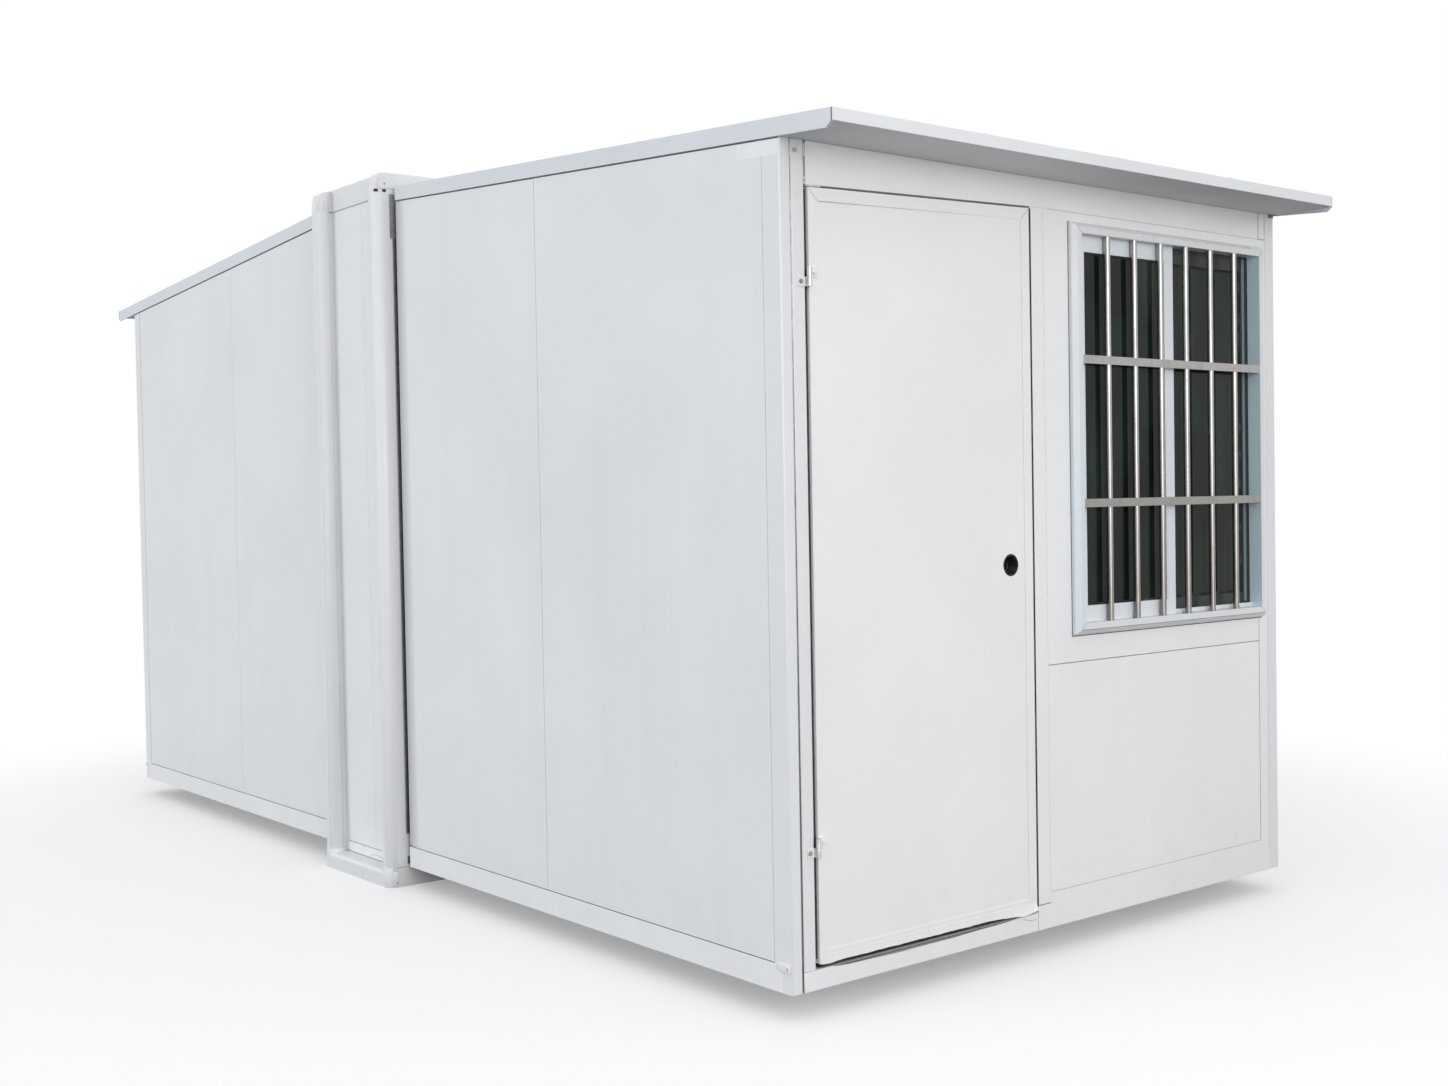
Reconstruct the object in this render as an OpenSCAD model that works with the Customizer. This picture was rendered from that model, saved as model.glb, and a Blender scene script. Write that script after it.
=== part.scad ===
// Folding cabin: a narrow core with a front wing and a back wing.
// Origin on the ground at the middle of the cabin, front wall towards -Y, door on the -X side.

/* [Overall] */
// Width of the panels that hold the window, between the lock jamb and the right stile
window_w = 1078; // [800:2:1400]
// Depth of a wing, from its outer wall to its edge at the core
wing_depth = 2065; // [1700:5:2400]
// Height of a wing's underside over the ground
wing_lift = 73; // [40:1:120]
// Thickness of the wall panels
panel_t = 50; // [40:1:75]
// Thickness of the floors
floor_t = 80; // [60:1:120]
// Width of the open seam between neighbouring panels
seam = 2; // [1:0.5:4]

/* [Core] */
// Width of the core between the wings
core_w = 530; // [420:10:800]
// Gap between the core and a wing
wing_gap = 25; // [15:1:40]
// Height of the core over the wing roofs beside it
core_step = 46; // [20:1:100]
// How far the core's base stands out past the end walls
core_proud = 72; // [40:1:110]
// Height of the core's base frame
core_base_h = 56; // [50:1:100]
// Radius of the base frame's upper edge at the ends
core_edge_r = 14; // [4:1:30]
// How far the base beams reach in behind the end panels
core_base_in = 30; // [15:1:60]
// Width of the base frame's long rails
core_rail_w = 60; // [40:1:90]
// Thickness of a core post across its nose
core_post_w = 50; // [35:1:70]
// Radius of a core post's nose on its outer side
core_nose_r = 32; // [10:1:40]
// Radius of a core post's fold beside the end panel
core_fold_r = 4; // [2:1:8]
// How far a core post's nose lies behind the base frame's face
core_nose_back = 3; // [2:0.5:6]
// Height of the collar round a core post's foot
collar_h = 14; // [6:1:30]
// Clearance between a core post and the collar round its foot
collar_gap = 0.4; // [0.3:0.1:1]
// Height of the caps over the core's ends, up to the top of the fascias
core_cap_h = 66; // [55:1:100]
// How far a cap stands proud of the end panel
core_cap_proud = 4; // [2:1:20]
// How far a cap leans in over the posts
cap_lean = 18; // [8:1:30]
// Length of the cut along the cap's upper edge
cap_cut = 7; // [3:1:12]
// Height of the core's crown over its fascias
crown_h = 17; // [5:1:30]
// Width of the crown's sloping borders
crown_run = 58; // [40:1:90]
// Thickness of the core's roof
core_roof_t = 60; // [50:1:70]
// Height of the fascia along each side of the core's roof
core_fascia_h = 52; // [30:1:55]
// Thickness of the core's fascia
core_fascia_t = 3; // [2:0.5:6]
// How far the core's fascia reaches out past the end walls
core_fascia_out = 54; // [20:1:70]
// Height of the skirt strip on the core's end panel
skirt_h = 38; // [20:1:80]
// Thickness of the skirt strip
skirt_t = 2; // [1:0.5:4]

/* [Wing roof] */
// Rise of the roof from the outer wall to the core
roof_rise = 145; // [80:1:180]
// Thickness of the roof
roof_t = 50; // [40:1:60]
// How far the roof reaches out past the outer wall
roof_overhang = 205; // [100:5:350]
// How far the roof reaches out past the end walls
roof_side = 10; // [5:1:40]
// How far the roof sits towards the window side
roof_shift = 11; // [0:1:12]
// Height of the roof's outer lip
lip_h = 33; // [20:1:38]
// Length of the slanting cut at the outer end of the roof's edge trim
lip_cut = 20; // [10:1:60]
// Thickness of the roof's edge trim
roof_trim_t = 4; // [2:1:8]
// Clearance between the walls and the roof that rests on them
roof_seat = 0.3; // [0.2:0.1:1]

/* [Wing frame] */
// Width of the left corner post on the outer wall
post_w = 36; // [30:1:60]
// Width of the right corner post on the outer wall
right_post_w = 53; // [30:1:70]
// Depth of a corner post on the end wall
post_d = 70; // [60:1:100]
// Length of the corner post's foot on the end wall, beside the sole rail
post_foot = 42; // [20:1:58]
// Height of the bottom rails
rail_h = 73; // [66:1:110]
// How far the front bottom rail stands proud of the wall
rail_proud = 2; // [1:0.5:5]
// Height of the track between the bottom rail and the lower panel
track_h = 33; // [15:1:50]
// Height of the head rail over the window
head_rail_h = 87; // [60:1:160]
// Width of the filler strip between the head rail and the right corner post
filler_w = 36; // [20:1:48]
// Outside radius of folded steel edges
fold_r = 4; // [2:0.5:8]
// How far the sole rails stand proud of the end walls
sole_proud = 2; // [1:0.5:5]
// Distance of the end wall's seam from the outer wall
seam_pos = 1164; // [900:1:1300]
// Distance of the feet from the end walls
foot_inset = 220; // [120:10:400]
// Distance of the outer feet from the outer wall
foot_back = 240; // [120:10:400]
// Diameter of a foot's plate
foot_d = 90; // [60:5:140]
// Thickness of a foot's plate
foot_t = 8; // [5:1:15]
// Diameter of a foot's stud
stud_d = 24; // [16:1:36]

/* [Joints between core and wings] */
// Width of the strip over the floor joint
strip_w = 80; // [60:5:120]
// Thickness of the floor joint strip
strip_t = 3; // [2:0.5:6]
// Width of the seals
seal_w = 25; // [15:1:30]
// How far the wall seals lie behind the wall face
seal_back = 15; // [5:1:18]

/* [Door] */
// Width of the door leaf
door_w = 860; // [700:5:900]
// Height of the door leaf at its hinge side
door_h = 2027; // [1900:1:2040]
// How much higher the out-of-square leaf and its doorway are at the lock side
door_rise = 26; // [0:1:40]
// Thickness of the door leaf
door_t = 40; // [35:1:45]
// Height of the threshold
threshold_h = 53; // [40:1:80]
// Radius of the threshold's left end
threshold_r = 9; // [4:1:20]
// Gap under the door leaf
sill_gap = 13; // [8:1:25]
// Gap over the door leaf
head_gap = 6; // [6:1:15]
// Gap between the corner post and the hinge jamb
post_gap = 3; // [1:0.5:6]
// Width of the hinge jamb
hinge_jamb_w = 44; // [40:1:60]
// Gap between the hinge jamb and the door leaf
hinge_gap = 12; // [10:1:16]
// Gap between the hinge jamb and the head rail
head_slot = 7; // [4:1:12]
// Gap between the door leaf and the lock jamb
lock_gap = 6; // [5:1:10]
// Width of the lock jamb
lock_jamb_w = 58; // [40:1:70]
// Diameter of the lock bore
lock_d = 56; // [40:1:60]
// Distance of the lock bore from the leaf's free edge
lock_backset = 95; // [60:1:120]
// Height of the lock bore over the leaf's lower edge
lock_h = 1017; // [900:1:1100]
// Width of the leaf's edge trim
door_trim_w = 34; // [20:1:45]
// Thickness of the leaf's edge trim
door_trim_t = 1.5; // [1:0.5:3]

/* [Hinges] */
// Height of one hinge
hinge_h = 50; // [40:1:80]
// Distance of the lower hinge from the leaf's lower edge
hinge_low = 309; // [200:1:400]
// Distance of the upper hinge from the leaf's upper edge
hinge_high = 233; // [150:1:400]
// Diameter of a hinge barrel
barrel_d = 14; // [12:1:16]
// Diameter of a hinge pin
pin_d = 8; // [6:1:9]
// Radial clearance of a pin in its barrel
pin_clear = 0.05; // [0.02:0.01:0.1]
// Distance of the hinge axis from the jamb's edge
axis_side = 4; // [3:0.5:5]
// Distance of the hinge axis in front of the wall
axis_out = 12; // [12:0.5:16]
// Width of a hinge plate
plate_w = 27; // [20:1:35]
// Thickness of a hinge plate
plate_t = 3; // [2:0.5:4]
// Gap between the two barrels of a hinge
barrel_gap = 0.3; // [0.2:0.1:1]

/* [Window] */
// Width of the stile beside the right corner post
stile_w = 50; // [30:1:60]
// Gap between the head rail and the casing
casing_head = 29; // [4:1:40]
// Distance of the casing from the lock jamb
casing_left = 112; // [50:1:140]
// How far the casing laps over the right stile
casing_lap = 15; // [0:1:30]
// Height of the casing
casing_h = 1233; // [900:1:1400]
// Height of the casing's lower edge over the panel joint
casing_low = 83; // [40:1:150]
// Face width of the casing
casing_face = 34; // [20:1:50]
// How far the casing stands out of the wall
casing_proud = 26; // [25:1:60]
// Size of the slanting cut along the casing's outer edges
casing_cut = 14; // [4:1:18]
// Thickness of the casing's liner in the wall
liner_t = 4; // [2:1:8]
// Face width of a sash frame's upright stiles
sash_stile = 40; // [30:1:60]
// Face width of a sash frame's level rails
sash_rail = 50; // [30:1:70]
// Depth of a sash frame
sash_d = 20; // [14:1:22]
// Gap between the two sashes
sash_gap = 1; // [0.5:0.5:3]
// Overlap of the two sashes at the meeting stiles
sash_lap = 40; // [30:1:60]
// Thickness of the glass
glass_t = 5; // [4:1:8]
// Number of upright tubes in the guard
guard_tubes = 6; // [4:1:8]
// Diameter of the guard's upright tubes
tube_d = 20; // [12:1:20]
// Height of the guard's flat bars
flat_h = 25; // [20:1:40]
// Depth of the guard's flat bars
flat_d = 22; // [21:1:24]
// Depth of the flat bars' face behind the casing's face
flat_back = 1; // [0.5:0.5:3]
// Height of the lower flat bar over the casing's opening
flat_low = 360; // [250:5:450]
// Height of the upper flat bar over the casing's opening
flat_high = 791; // [600:5:900]

/* [Hidden] */
$fn = 48;
wall_w = post_w + post_gap + hinge_jamb_w + hinge_gap + door_w + lock_gap + lock_jamb_w
    + window_w + stile_w + right_post_w;
half_w = wall_w / 2;
core_half = core_w / 2;
wing_in = core_half + wing_gap;
wing_out = wing_in + wing_depth;
slope = roof_rise / wing_depth;
floor_z = wing_lift + floor_t;
rail_z = wing_lift + rail_h;
core_out = half_w + core_proud;
core_nose = core_out - core_nose_back;
nose_r = min(core_nose_r, core_post_w - core_fold_r - 2);
core_base_r = nose_r + core_nose_back;
post_in = half_w - panel_t;
sole_in = max(panel_t + sole_proud, post_w, right_post_w);

// Places across the front wall, from the left end wall
jamb_x = -half_w + post_w + post_gap;
jamb_end = jamb_x + hinge_jamb_w;
door_x = jamb_end + hinge_gap;
lock_jamb_x = door_x + door_w + lock_gap;
panel_x = lock_jamb_x + lock_jamb_w;
right_post_x = half_w - right_post_w;
stile_x = right_post_x - stile_w;

// Heights in the outer walls
threshold_z = wing_lift + threshold_h;
door_z = threshold_z + sill_gap;
door_top = door_z + door_h;
head_z = door_top + door_rise + head_gap;
track_z = rail_z + track_h;
eave_h = head_z + head_rail_h;

// Core heights, over the inner edges of the wing roofs
core_h = eave_h + roof_rise + roof_t + core_step;
core_cap_z = core_h - core_cap_h;
crown_z = core_h + crown_h;

// Window casing and its opening
casing_x = panel_x + casing_left;
casing_w = window_w - casing_left + casing_lap;
casing_z = head_z - casing_head - casing_h;
joint_z = casing_z - casing_low;
open_x = casing_x + casing_face;
open_w = casing_w - 2 * casing_face;
open_z = casing_z + casing_face;
open_h = casing_h - 2 * casing_face;
sash_w = (open_w + sash_lap) / 2;

// Hinge axis and the heights where the two halves of each hinge meet
axis_x = jamb_end + axis_side;
axis_y = -wing_out - axis_out;
hinge_z = [door_z + hinge_low, door_top - hinge_high];

white = [0.90, 0.91, 0.92];
cool_white = [0.84, 0.86, 0.88];
steel = [0.72, 0.73, 0.74];
alu = [0.82, 0.86, 0.90];
dark = [0.12, 0.12, 0.13];
glass_tint = [0.10, 0.14, 0.13, 0.6];
board = [0.62, 0.60, 0.57];

// Height of the wing roof's underside at a distance in from the outer wall
function soffit(s) = eave_h + slope * s;

// Box from its lowest to its highest corner
module block(low, high) {
    translate(low)
        cube(high - low);
}

// Left and right copies of a left-hand piece
module both_ends() {
    children();
    mirror([1, 0, 0])
        children();
}

// Front and back copies of a front piece
module both_wings() {
    children();
    mirror([0, 1, 0])
        children();
}

// Front piece moved to the back wing
module at_back() {
    mirror([0, 1, 0])
        children();
}

// Prism along X from an outline of [distance in from the outer wall, height]
module wing_prism(x0, x1, outline) {
    translate([x0, -wing_out, 0])
        rotate([90, 0, 90])
            linear_extrude(x1 - x0)
                polygon(outline);
}

// Upright piece of a wing that stops under the sloping roof
module under_roof(x0, x1, s0, s1, z0) {
    wing_prism(x0, x1, [
        [s0, z0],
        [s1, z0],
        [s1, soffit(s1) - roof_seat],
        [s0, soffit(s0) - roof_seat]]);
}

// Prism behind the outer wall's face from an outline of [place along the wall, height]
module wall_prism(s0, s1, outline) {
    translate([0, -wing_out + s1, 0])
        rotate([90, 0, 0])
            linear_extrude(s1 - s0)
                polygon(outline);
}

// Piece of an outer wall, by its place along the wall, its depth behind the wall face and its height
module wall_block(x0, x1, s0, s1, z0, z1) {
    block([x0, -wing_out + s0, z0], [x1, -wing_out + s1, z1]);
}

// Upright rectangular frame in an outer wall, by its edges and the widths of its stiles and rails
module wall_frame(x0, x1, s0, s1, z0, z1, stile, rail) {
    difference() {
        wall_block(x0, x1, s0, s1, z0, z1);
        wall_block(x0 + stile, x1 - stile, s0 - 1, s1 + 1, z0 + rail, z1 - rail);
    }
}

// Rectangle with a round corner at the front and the back of its left side
module left_round_rect(x0, x1, y0, y1, r0, r1) {
    translate([x0 + r0, y0])
        square([x1 - x0 - r0, r0]);
    translate([x0, y0 + r0])
        square([x1 - x0, y1 - y0 - r0 - r1]);
    translate([x0 + r1, y1 - r1])
        square([x1 - x0 - r1, r1]);
    translate([x0 + r0, y0 + r0])
        circle(r0);
    translate([x0 + r1, y1 - r1])
        circle(r1);
}

// Upright outer wall section that stops under the roof, with its outer left and right edges folded round
module folded_post(x0, x1, depth, z0) {
    y0 = -wing_out;
    intersection() {
        under_roof(x0, x1, 0, depth, z0);
        linear_extrude(eave_h + roof_rise) {
            translate([x0, y0 + fold_r])
                square([x1 - x0, depth - fold_r]);
            translate([x0 + fold_r, y0])
                square([x1 - x0 - 2 * fold_r, fold_r]);
            for (x = [x0 + fold_r, x1 - fold_r])
                translate([x, y0 + fold_r])
                    circle(fold_r);
        }
    }
}

// Left-hand end profile of the core with a round upper edge, along Y
module left_round_top(x0, x1, z0, z1, r) {
    translate([0, core_w, 0])
        rotate([90, 0, 0])
            linear_extrude(2 * core_w) {
                translate([x0, z0])
                    square([x1 - x0, z1 - z0 - r]);
                translate([x0 + r, z0])
                    square([x1 - x0 - r, z1 - z0]);
                translate([x0 + r, z1 - r])
                    circle(r);
            }
}

// Plan of the front left core post, grown by a clearance
module core_post_plan(grow) {
    left_round_rect(-core_nose - grow, -post_in, -core_half - grow, -core_half + core_post_w + grow,
                    nose_r + grow, core_fold_r + grow);
}

// End beams with round edges, long rails between them and collars round the feet of the posts
module core_base_frame() {
    base_in = post_in - core_base_in;
    collar_in = -core_half + core_post_w + core_nose_back;
    color(white) {
        both_ends() {
            intersection() {
                linear_extrude(core_base_h)
                    left_round_rect(-core_out, -base_in, -core_half, core_half, core_base_r, core_base_r);
                left_round_top(-core_out, -base_in, 0, core_base_h, core_edge_r);
            }
            both_wings()
                difference() {
                    translate([0, 0, core_base_h - core_edge_r])
                        linear_extrude(core_edge_r + collar_h)
                            left_round_rect(-core_out, -half_w - skirt_t, -core_half, collar_in,
                                            core_base_r, core_fold_r + core_nose_back);
                    translate([0, 0, core_base_h])
                        linear_extrude(core_h)
                            core_post_plan(collar_gap);
                }
        }
        both_wings()
            block([-post_in, -core_half, 0], [post_in, -core_half + core_rail_w, core_base_h]);
    }
}

module core_floor() {
    color(board)
        block([-post_in, -core_half, core_base_h], [post_in, core_half, floor_z]);
}

// Two posts with round noses, at the front and back of the core's left end
module core_posts_left() {
    color(white)
        both_wings()
            translate([0, 0, core_base_h])
                linear_extrude(core_cap_z - core_base_h)
                    core_post_plan(0);
}

module core_posts_right() {
    mirror([1, 0, 0])
        core_posts_left();
}

// End panel between the posts, with the skirt strip along its foot
module core_end_panel_left() {
    inner = core_half - core_post_w;
    skirt_in = inner - core_nose_back - collar_gap;
    color(cool_white) {
        block([-half_w, -inner, core_base_h], [-post_in, inner, core_cap_z]);
        block([-half_w - skirt_t, -skirt_in, core_base_h], [-half_w, skirt_in, core_base_h + skirt_h]);
    }
}

module core_end_panel_right() {
    mirror([1, 0, 0])
        core_end_panel_left();
}

// Crown of the core along X, with its sloping borders at the front and back
module crown_prism(x0, x1, z0) {
    translate([x0, 0, 0])
        rotate([90, 0, 90])
            linear_extrude(x1 - x0)
                polygon([
                    [-core_half, z0],
                    [core_half, z0],
                    [core_half, core_h],
                    [core_half - crown_run, crown_z],
                    [crown_run - core_half, crown_z],
                    [-core_half, core_h]]);
}

// End profile of the left cap along Y: leaning in over the posts, a cut edge, then up to the crown
module cap_prism() {
    lean_x = cap_lean - core_nose;
    cut_x = cap_cut * cap_lean / core_cap_h;
    cut_z = cap_cut * crown_h / crown_run;
    translate([0, core_w, 0])
        rotate([90, 0, 0])
            linear_extrude(2 * core_w)
                polygon([
                    [-core_nose, core_cap_z],
                    [-post_in, core_cap_z],
                    [-post_in, crown_z],
                    [lean_x + crown_run, crown_z],
                    [lean_x + cap_cut, core_h + cut_z],
                    [lean_x - cut_x, core_h - cap_cut]]);
}

// Cap over each end's posts and panel, and a fascia along each side of the core's roof, let in at the caps
module core_top_frame() {
    inner = core_half - core_post_w;
    fascia_x = half_w + core_fascia_out;
    fascia_z = core_h - core_fascia_h;
    color(white) {
        both_ends()
            intersection() {
                translate([0, 0, core_cap_z])
                    linear_extrude(crown_z - core_cap_z) {
                        both_wings()
                            core_post_plan(0);
                        translate([-half_w - core_cap_proud, -inner - 1])
                            square([panel_t + core_cap_proud, 2 * inner + 2]);
                    }
                cap_prism();
                crown_prism(-core_out, -post_in, core_cap_z);
            }
        block([-fascia_x, -core_half - core_fascia_t, fascia_z], [fascia_x, -core_half, core_h]);
        block([-half_w, core_half, fascia_z], [half_w, core_half + core_fascia_t, core_h]);
        both_ends()
            both_wings()
                block([-half_w, -core_half - core_fascia_t, fascia_z],
                      [-post_in, core_fascia_t - core_half, core_h]);
    }
}

module core_roof() {
    color(white)
        crown_prism(-post_in, post_in, core_h - core_roof_t);
}

module front_floor() {
    inner = half_w - sole_in;
    color(board)
        block([-inner, -wing_out + panel_t, wing_lift], [inner, -wing_in, floor_z]);
}

// Left sole rail, narrower where it runs in under the corner post
module sole_rail(w) {
    block([-half_w - sole_proud, -wing_out + post_d, wing_lift], [-half_w + sole_in, -wing_in, rail_z]);
    block([-half_w - sole_proud, -wing_out + post_foot, wing_lift],
          [-half_w + w, -wing_out + post_d, rail_z]);
}

module front_sole_rails() {
    color(white) {
        sole_rail(post_w);
        mirror([1, 0, 0])
            sole_rail(right_post_w);
    }
}

module front_end_wall_left() {
    color(cool_white) {
        under_roof(-half_w, -half_w + panel_t, post_d, seam_pos - seam / 2, rail_z);
        under_roof(-half_w, -half_w + panel_t, seam_pos + seam / 2, wing_depth, rail_z);
    }
}

module front_end_wall_right() {
    mirror([1, 0, 0])
        front_end_wall_left();
}

// Left corner post, with its shorter foot beside the sole rail
module corner_post(w) {
    folded_post(-half_w, -half_w + w, post_d, rail_z);
    intersection() {
        folded_post(-half_w, -half_w + w, post_d, wing_lift);
        wall_block(-half_w, -half_w + w, 0, post_foot, wing_lift, rail_z);
    }
}

module front_corner_posts() {
    color(white) {
        corner_post(post_w);
        mirror([1, 0, 0])
            corner_post(right_post_w);
    }
}

// Head rail, with its lower edge rising over the door and level over the window
module front_head_rail() {
    rail_x = jamb_end + head_slot;
    rail_end = right_post_x - filler_w;
    door_end = door_x + door_w;
    rail_top = soffit(panel_t);
    color(white)
        intersection() {
            under_roof(rail_x, rail_end, 0, panel_t, door_top);
            wall_prism(-1, panel_t + 1, [
                [rail_x, head_z - door_rise * (door_end - rail_x) / door_w],
                [door_end, head_z],
                [rail_end, head_z],
                [rail_end, rail_top],
                [rail_x, rail_top]]);
        }
}

// Outline of the sloping roof from a point on its underside, with the lip at its outer edge
function roof_outline(under) = [
    [-roof_overhang, soffit(-roof_overhang) + roof_t],
    [-roof_overhang, soffit(-roof_overhang) + roof_t - lip_h],
    [under, soffit(under)],
    [wing_depth, soffit(wing_depth)],
    [wing_depth, soffit(wing_depth) + roof_t]];

// Roof with a straight underside from the lip to the outer wall
module front_roof() {
    color(white)
        wing_prism(roof_shift - half_w - roof_side, roof_shift + half_w + roof_side, roof_outline(0));
}

// Trim along each sloping end of the roof, with a slanting cut up to the lip
module front_roof_trim() {
    color(white)
        translate([roof_shift, 0, 0])
            both_ends()
                wing_prism(-half_w - roof_side - roof_trim_t, -half_w - roof_side,
                           roof_outline(lip_cut - roof_overhang));
}

module front_feet() {
    color(steel)
        both_ends()
            translate([-half_w + foot_inset, -wing_out + foot_back, 0]) {
                cylinder(d = foot_d, h = foot_t);
                cylinder(d = stud_d, h = wing_lift);
            }
}

module front_threshold() {
    color(white)
        translate([0, 0, wing_lift])
            linear_extrude(threshold_h)
                left_round_rect(jamb_x, lock_jamb_x, -wing_out, panel_t - wing_out, threshold_r, fold_r);
}

// Bottom rail under the window wall, with the track that holds the lower panel
module front_bottom_rail() {
    color(white) {
        wall_block(lock_jamb_x, right_post_x, -rail_proud, panel_t, wing_lift, rail_z);
        wall_block(panel_x, stile_x, 0, panel_t, rail_z, track_z);
    }
}

module hinge_jamb() {
    color(white)
        folded_post(jamb_x, jamb_end, panel_t, threshold_z);
}

// Lock jamb beside the door, and the stile and filler strip beside the right corner post
module front_stiles() {
    color(white) {
        wall_block(lock_jamb_x, panel_x, 0, panel_t, rail_z, head_z);
        wall_block(stile_x, right_post_x, 0, panel_t, rail_z, head_z);
        under_roof(right_post_x - filler_w + seam / 2, right_post_x, 0, panel_t, head_z - seam);
    }
}

module front_lower_panel() {
    color(white)
        wall_block(panel_x, stile_x, 0, panel_t, track_z, joint_z - seam / 2);
}

// Panel round the window, cut out for the casing's liner
module front_window_panel() {
    color(white)
        difference() {
            wall_block(panel_x, stile_x, 0, panel_t, joint_z + seam / 2, head_z);
            wall_block(open_x - liner_t, open_x + open_w + liner_t, -1, panel_t + 1,
                       open_z - liner_t, open_z + open_h + liner_t);
        }
}

// Block on the wall face with slanting cuts along its four outer edges
module casing_block() {
    x1 = casing_x + casing_w;
    z1 = casing_z + casing_h;
    cut_s = casing_cut - casing_proud;
    intersection() {
        wing_prism(casing_x - 1, x1 + 1, [
            [0, casing_z],
            [0, z1],
            [cut_s, z1],
            [-casing_proud, z1 - casing_cut],
            [-casing_proud, casing_z + casing_cut],
            [cut_s, casing_z]]);
        translate([0, -wing_out, casing_z - 1])
            linear_extrude(casing_h + 2)
                polygon([
                    [casing_x, 1],
                    [casing_x, cut_s],
                    [casing_x + casing_cut, -casing_proud],
                    [x1 - casing_cut, -casing_proud],
                    [x1, cut_s],
                    [x1, 1]]);
    }
}

// Casing on the wall face with a thin liner through the wall
module window_casing() {
    color(white) {
        difference() {
            casing_block();
            wall_block(open_x, open_x + open_w, -casing_proud - 1, 1, open_z, open_z + open_h);
        }
        wall_frame(open_x - liner_t, open_x + open_w + liner_t, 0, panel_t,
                   open_z - liner_t, open_z + open_h + liner_t, liner_t, liner_t);
    }
}

// Upright tubes through two flat bars, between the sides of the casing
module window_guard() {
    flat_s = flat_back - casing_proud;
    pitch = open_w / (guard_tubes + 1);
    color(steel) {
        for (i = [1 : guard_tubes])
            translate([open_x + i * pitch, -wing_out + flat_s + flat_d / 2, open_z])
                cylinder(d = tube_d, h = open_h);
        for (z = [flat_low, flat_high])
            wall_block(open_x, open_x + open_w, flat_s, flat_s + flat_d,
                       open_z + z - flat_h / 2, open_z + z + flat_h / 2);
    }
}

// Left edge and depth of the outer and the inner sash
outer_sash = [open_x, 0];
inner_sash = [open_x + open_w - sash_w, sash_d + sash_gap];

module sash(place) {
    color(alu)
        wall_frame(place[0], place[0] + sash_w, place[1], place[1] + sash_d,
                   open_z, open_z + open_h, sash_stile, sash_rail);
}

module window_sash_left() {
    sash(outer_sash);
}

module window_sash_right() {
    sash(inner_sash);
}

// The pane that fills one sash frame
module pane(place) {
    mid = place[1] + sash_d / 2;
    wall_block(place[0] + sash_stile, place[0] + sash_w - sash_stile, mid - glass_t / 2, mid + glass_t / 2,
               open_z + sash_rail, open_z + open_h - sash_rail);
}

module window_glass() {
    color(glass_tint) {
        pane(outer_sash);
        pane(inner_sash);
    }
}

// Outline of the door leaf, drawn in from its edges
function leaf_outline(inset) = [
    [door_x + inset, door_z + inset],
    [door_x + door_w - inset, door_z + inset],
    [door_x + door_w - inset, door_top + door_rise * (door_w - inset) / door_w - inset],
    [door_x + inset, door_top + door_rise * inset / door_w - inset]];

module door_leaf() {
    color(white)
        difference() {
            wall_prism(0, door_t, leaf_outline(0));
            translate([door_x + door_w - lock_backset, -wing_out - 1, door_z + lock_h])
                rotate([-90, 0, 0])
                    cylinder(d = lock_d, h = door_t + 2);
        }
}

module door_edge_trim() {
    color(white)
        difference() {
            wall_prism(-door_trim_t, 0, leaf_outline(0));
            wall_prism(-door_trim_t - 1, 1, leaf_outline(door_trim_w));
        }
}

// Upper half of each hinge: a bored barrel with a plate on the leaf
module door_hinge_knuckles() {
    color(steel)
        for (z = hinge_z)
            translate([axis_x, axis_y, z + barrel_gap / 2])
                difference() {
                    union() {
                        cylinder(d = barrel_d, h = hinge_h / 2);
                        translate([0, axis_out - door_trim_t - plate_t, 0])
                            cube([door_x - axis_x + plate_w, plate_t, hinge_h / 2]);
                        cube([barrel_d / 2, axis_out - door_trim_t, hinge_h / 2]);
                    }
                    translate([0, 0, -1])
                        cylinder(d = pin_d + 2 * pin_clear, h = hinge_h / 2 + 2);
                }
}

// Lower half of each hinge: a barrel with a plate on the jamb, and the pin
module door_hinge_pins() {
    color(steel)
        for (z = hinge_z)
            translate([axis_x, axis_y, z - hinge_h / 2]) {
                cylinder(d = barrel_d, h = hinge_h / 2 - barrel_gap / 2);
                cylinder(d = pin_d, h = hinge_h);
                translate([-axis_side - plate_w, axis_out - plate_t, 0])
                    cube([plate_w, plate_t, hinge_h / 2 - barrel_gap / 2]);
                translate([-barrel_d / 2, 0, 0])
                    cube([barrel_d / 2 - axis_side, axis_out, hinge_h / 2 - barrel_gap / 2]);
            }
}

module back_floor() {
    at_back()
        front_floor();
}

module back_sole_rails() {
    at_back()
        front_sole_rails();
}

module back_end_wall_left() {
    at_back()
        front_end_wall_left();
}

module back_end_wall_right() {
    at_back()
        front_end_wall_right();
}

module back_corner_posts() {
    at_back()
        front_corner_posts();
}

module back_head_rail() {
    color(white)
        at_back()
            under_roof(-half_w + post_w, right_post_x, 0, panel_t, head_z);
}

module back_bottom_rail() {
    color(white)
        at_back()
            wall_block(-half_w + post_w, right_post_x, -rail_proud, panel_t, wing_lift, rail_z);
}

// Plain outer wall of the back wing, in two panels
module back_wall() {
    color(white)
        at_back() {
            wall_block(-half_w + post_w, -seam / 2, 0, panel_t, rail_z, head_z);
            wall_block(seam / 2, right_post_x, 0, panel_t, rail_z, head_z);
        }
}

module back_roof() {
    at_back()
        front_roof();
}

module back_roof_trim() {
    at_back()
        front_roof_trim();
}

module back_feet() {
    at_back()
        front_feet();
}

module floor_joint_strips() {
    inner = half_w - sole_in;
    joint_y = -core_half - wing_gap / 2;
    color(alu)
        both_wings()
            block([-inner, joint_y - strip_w / 2, floor_z],
                  [inner, joint_y + strip_w / 2, floor_z + strip_t]);
}

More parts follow.
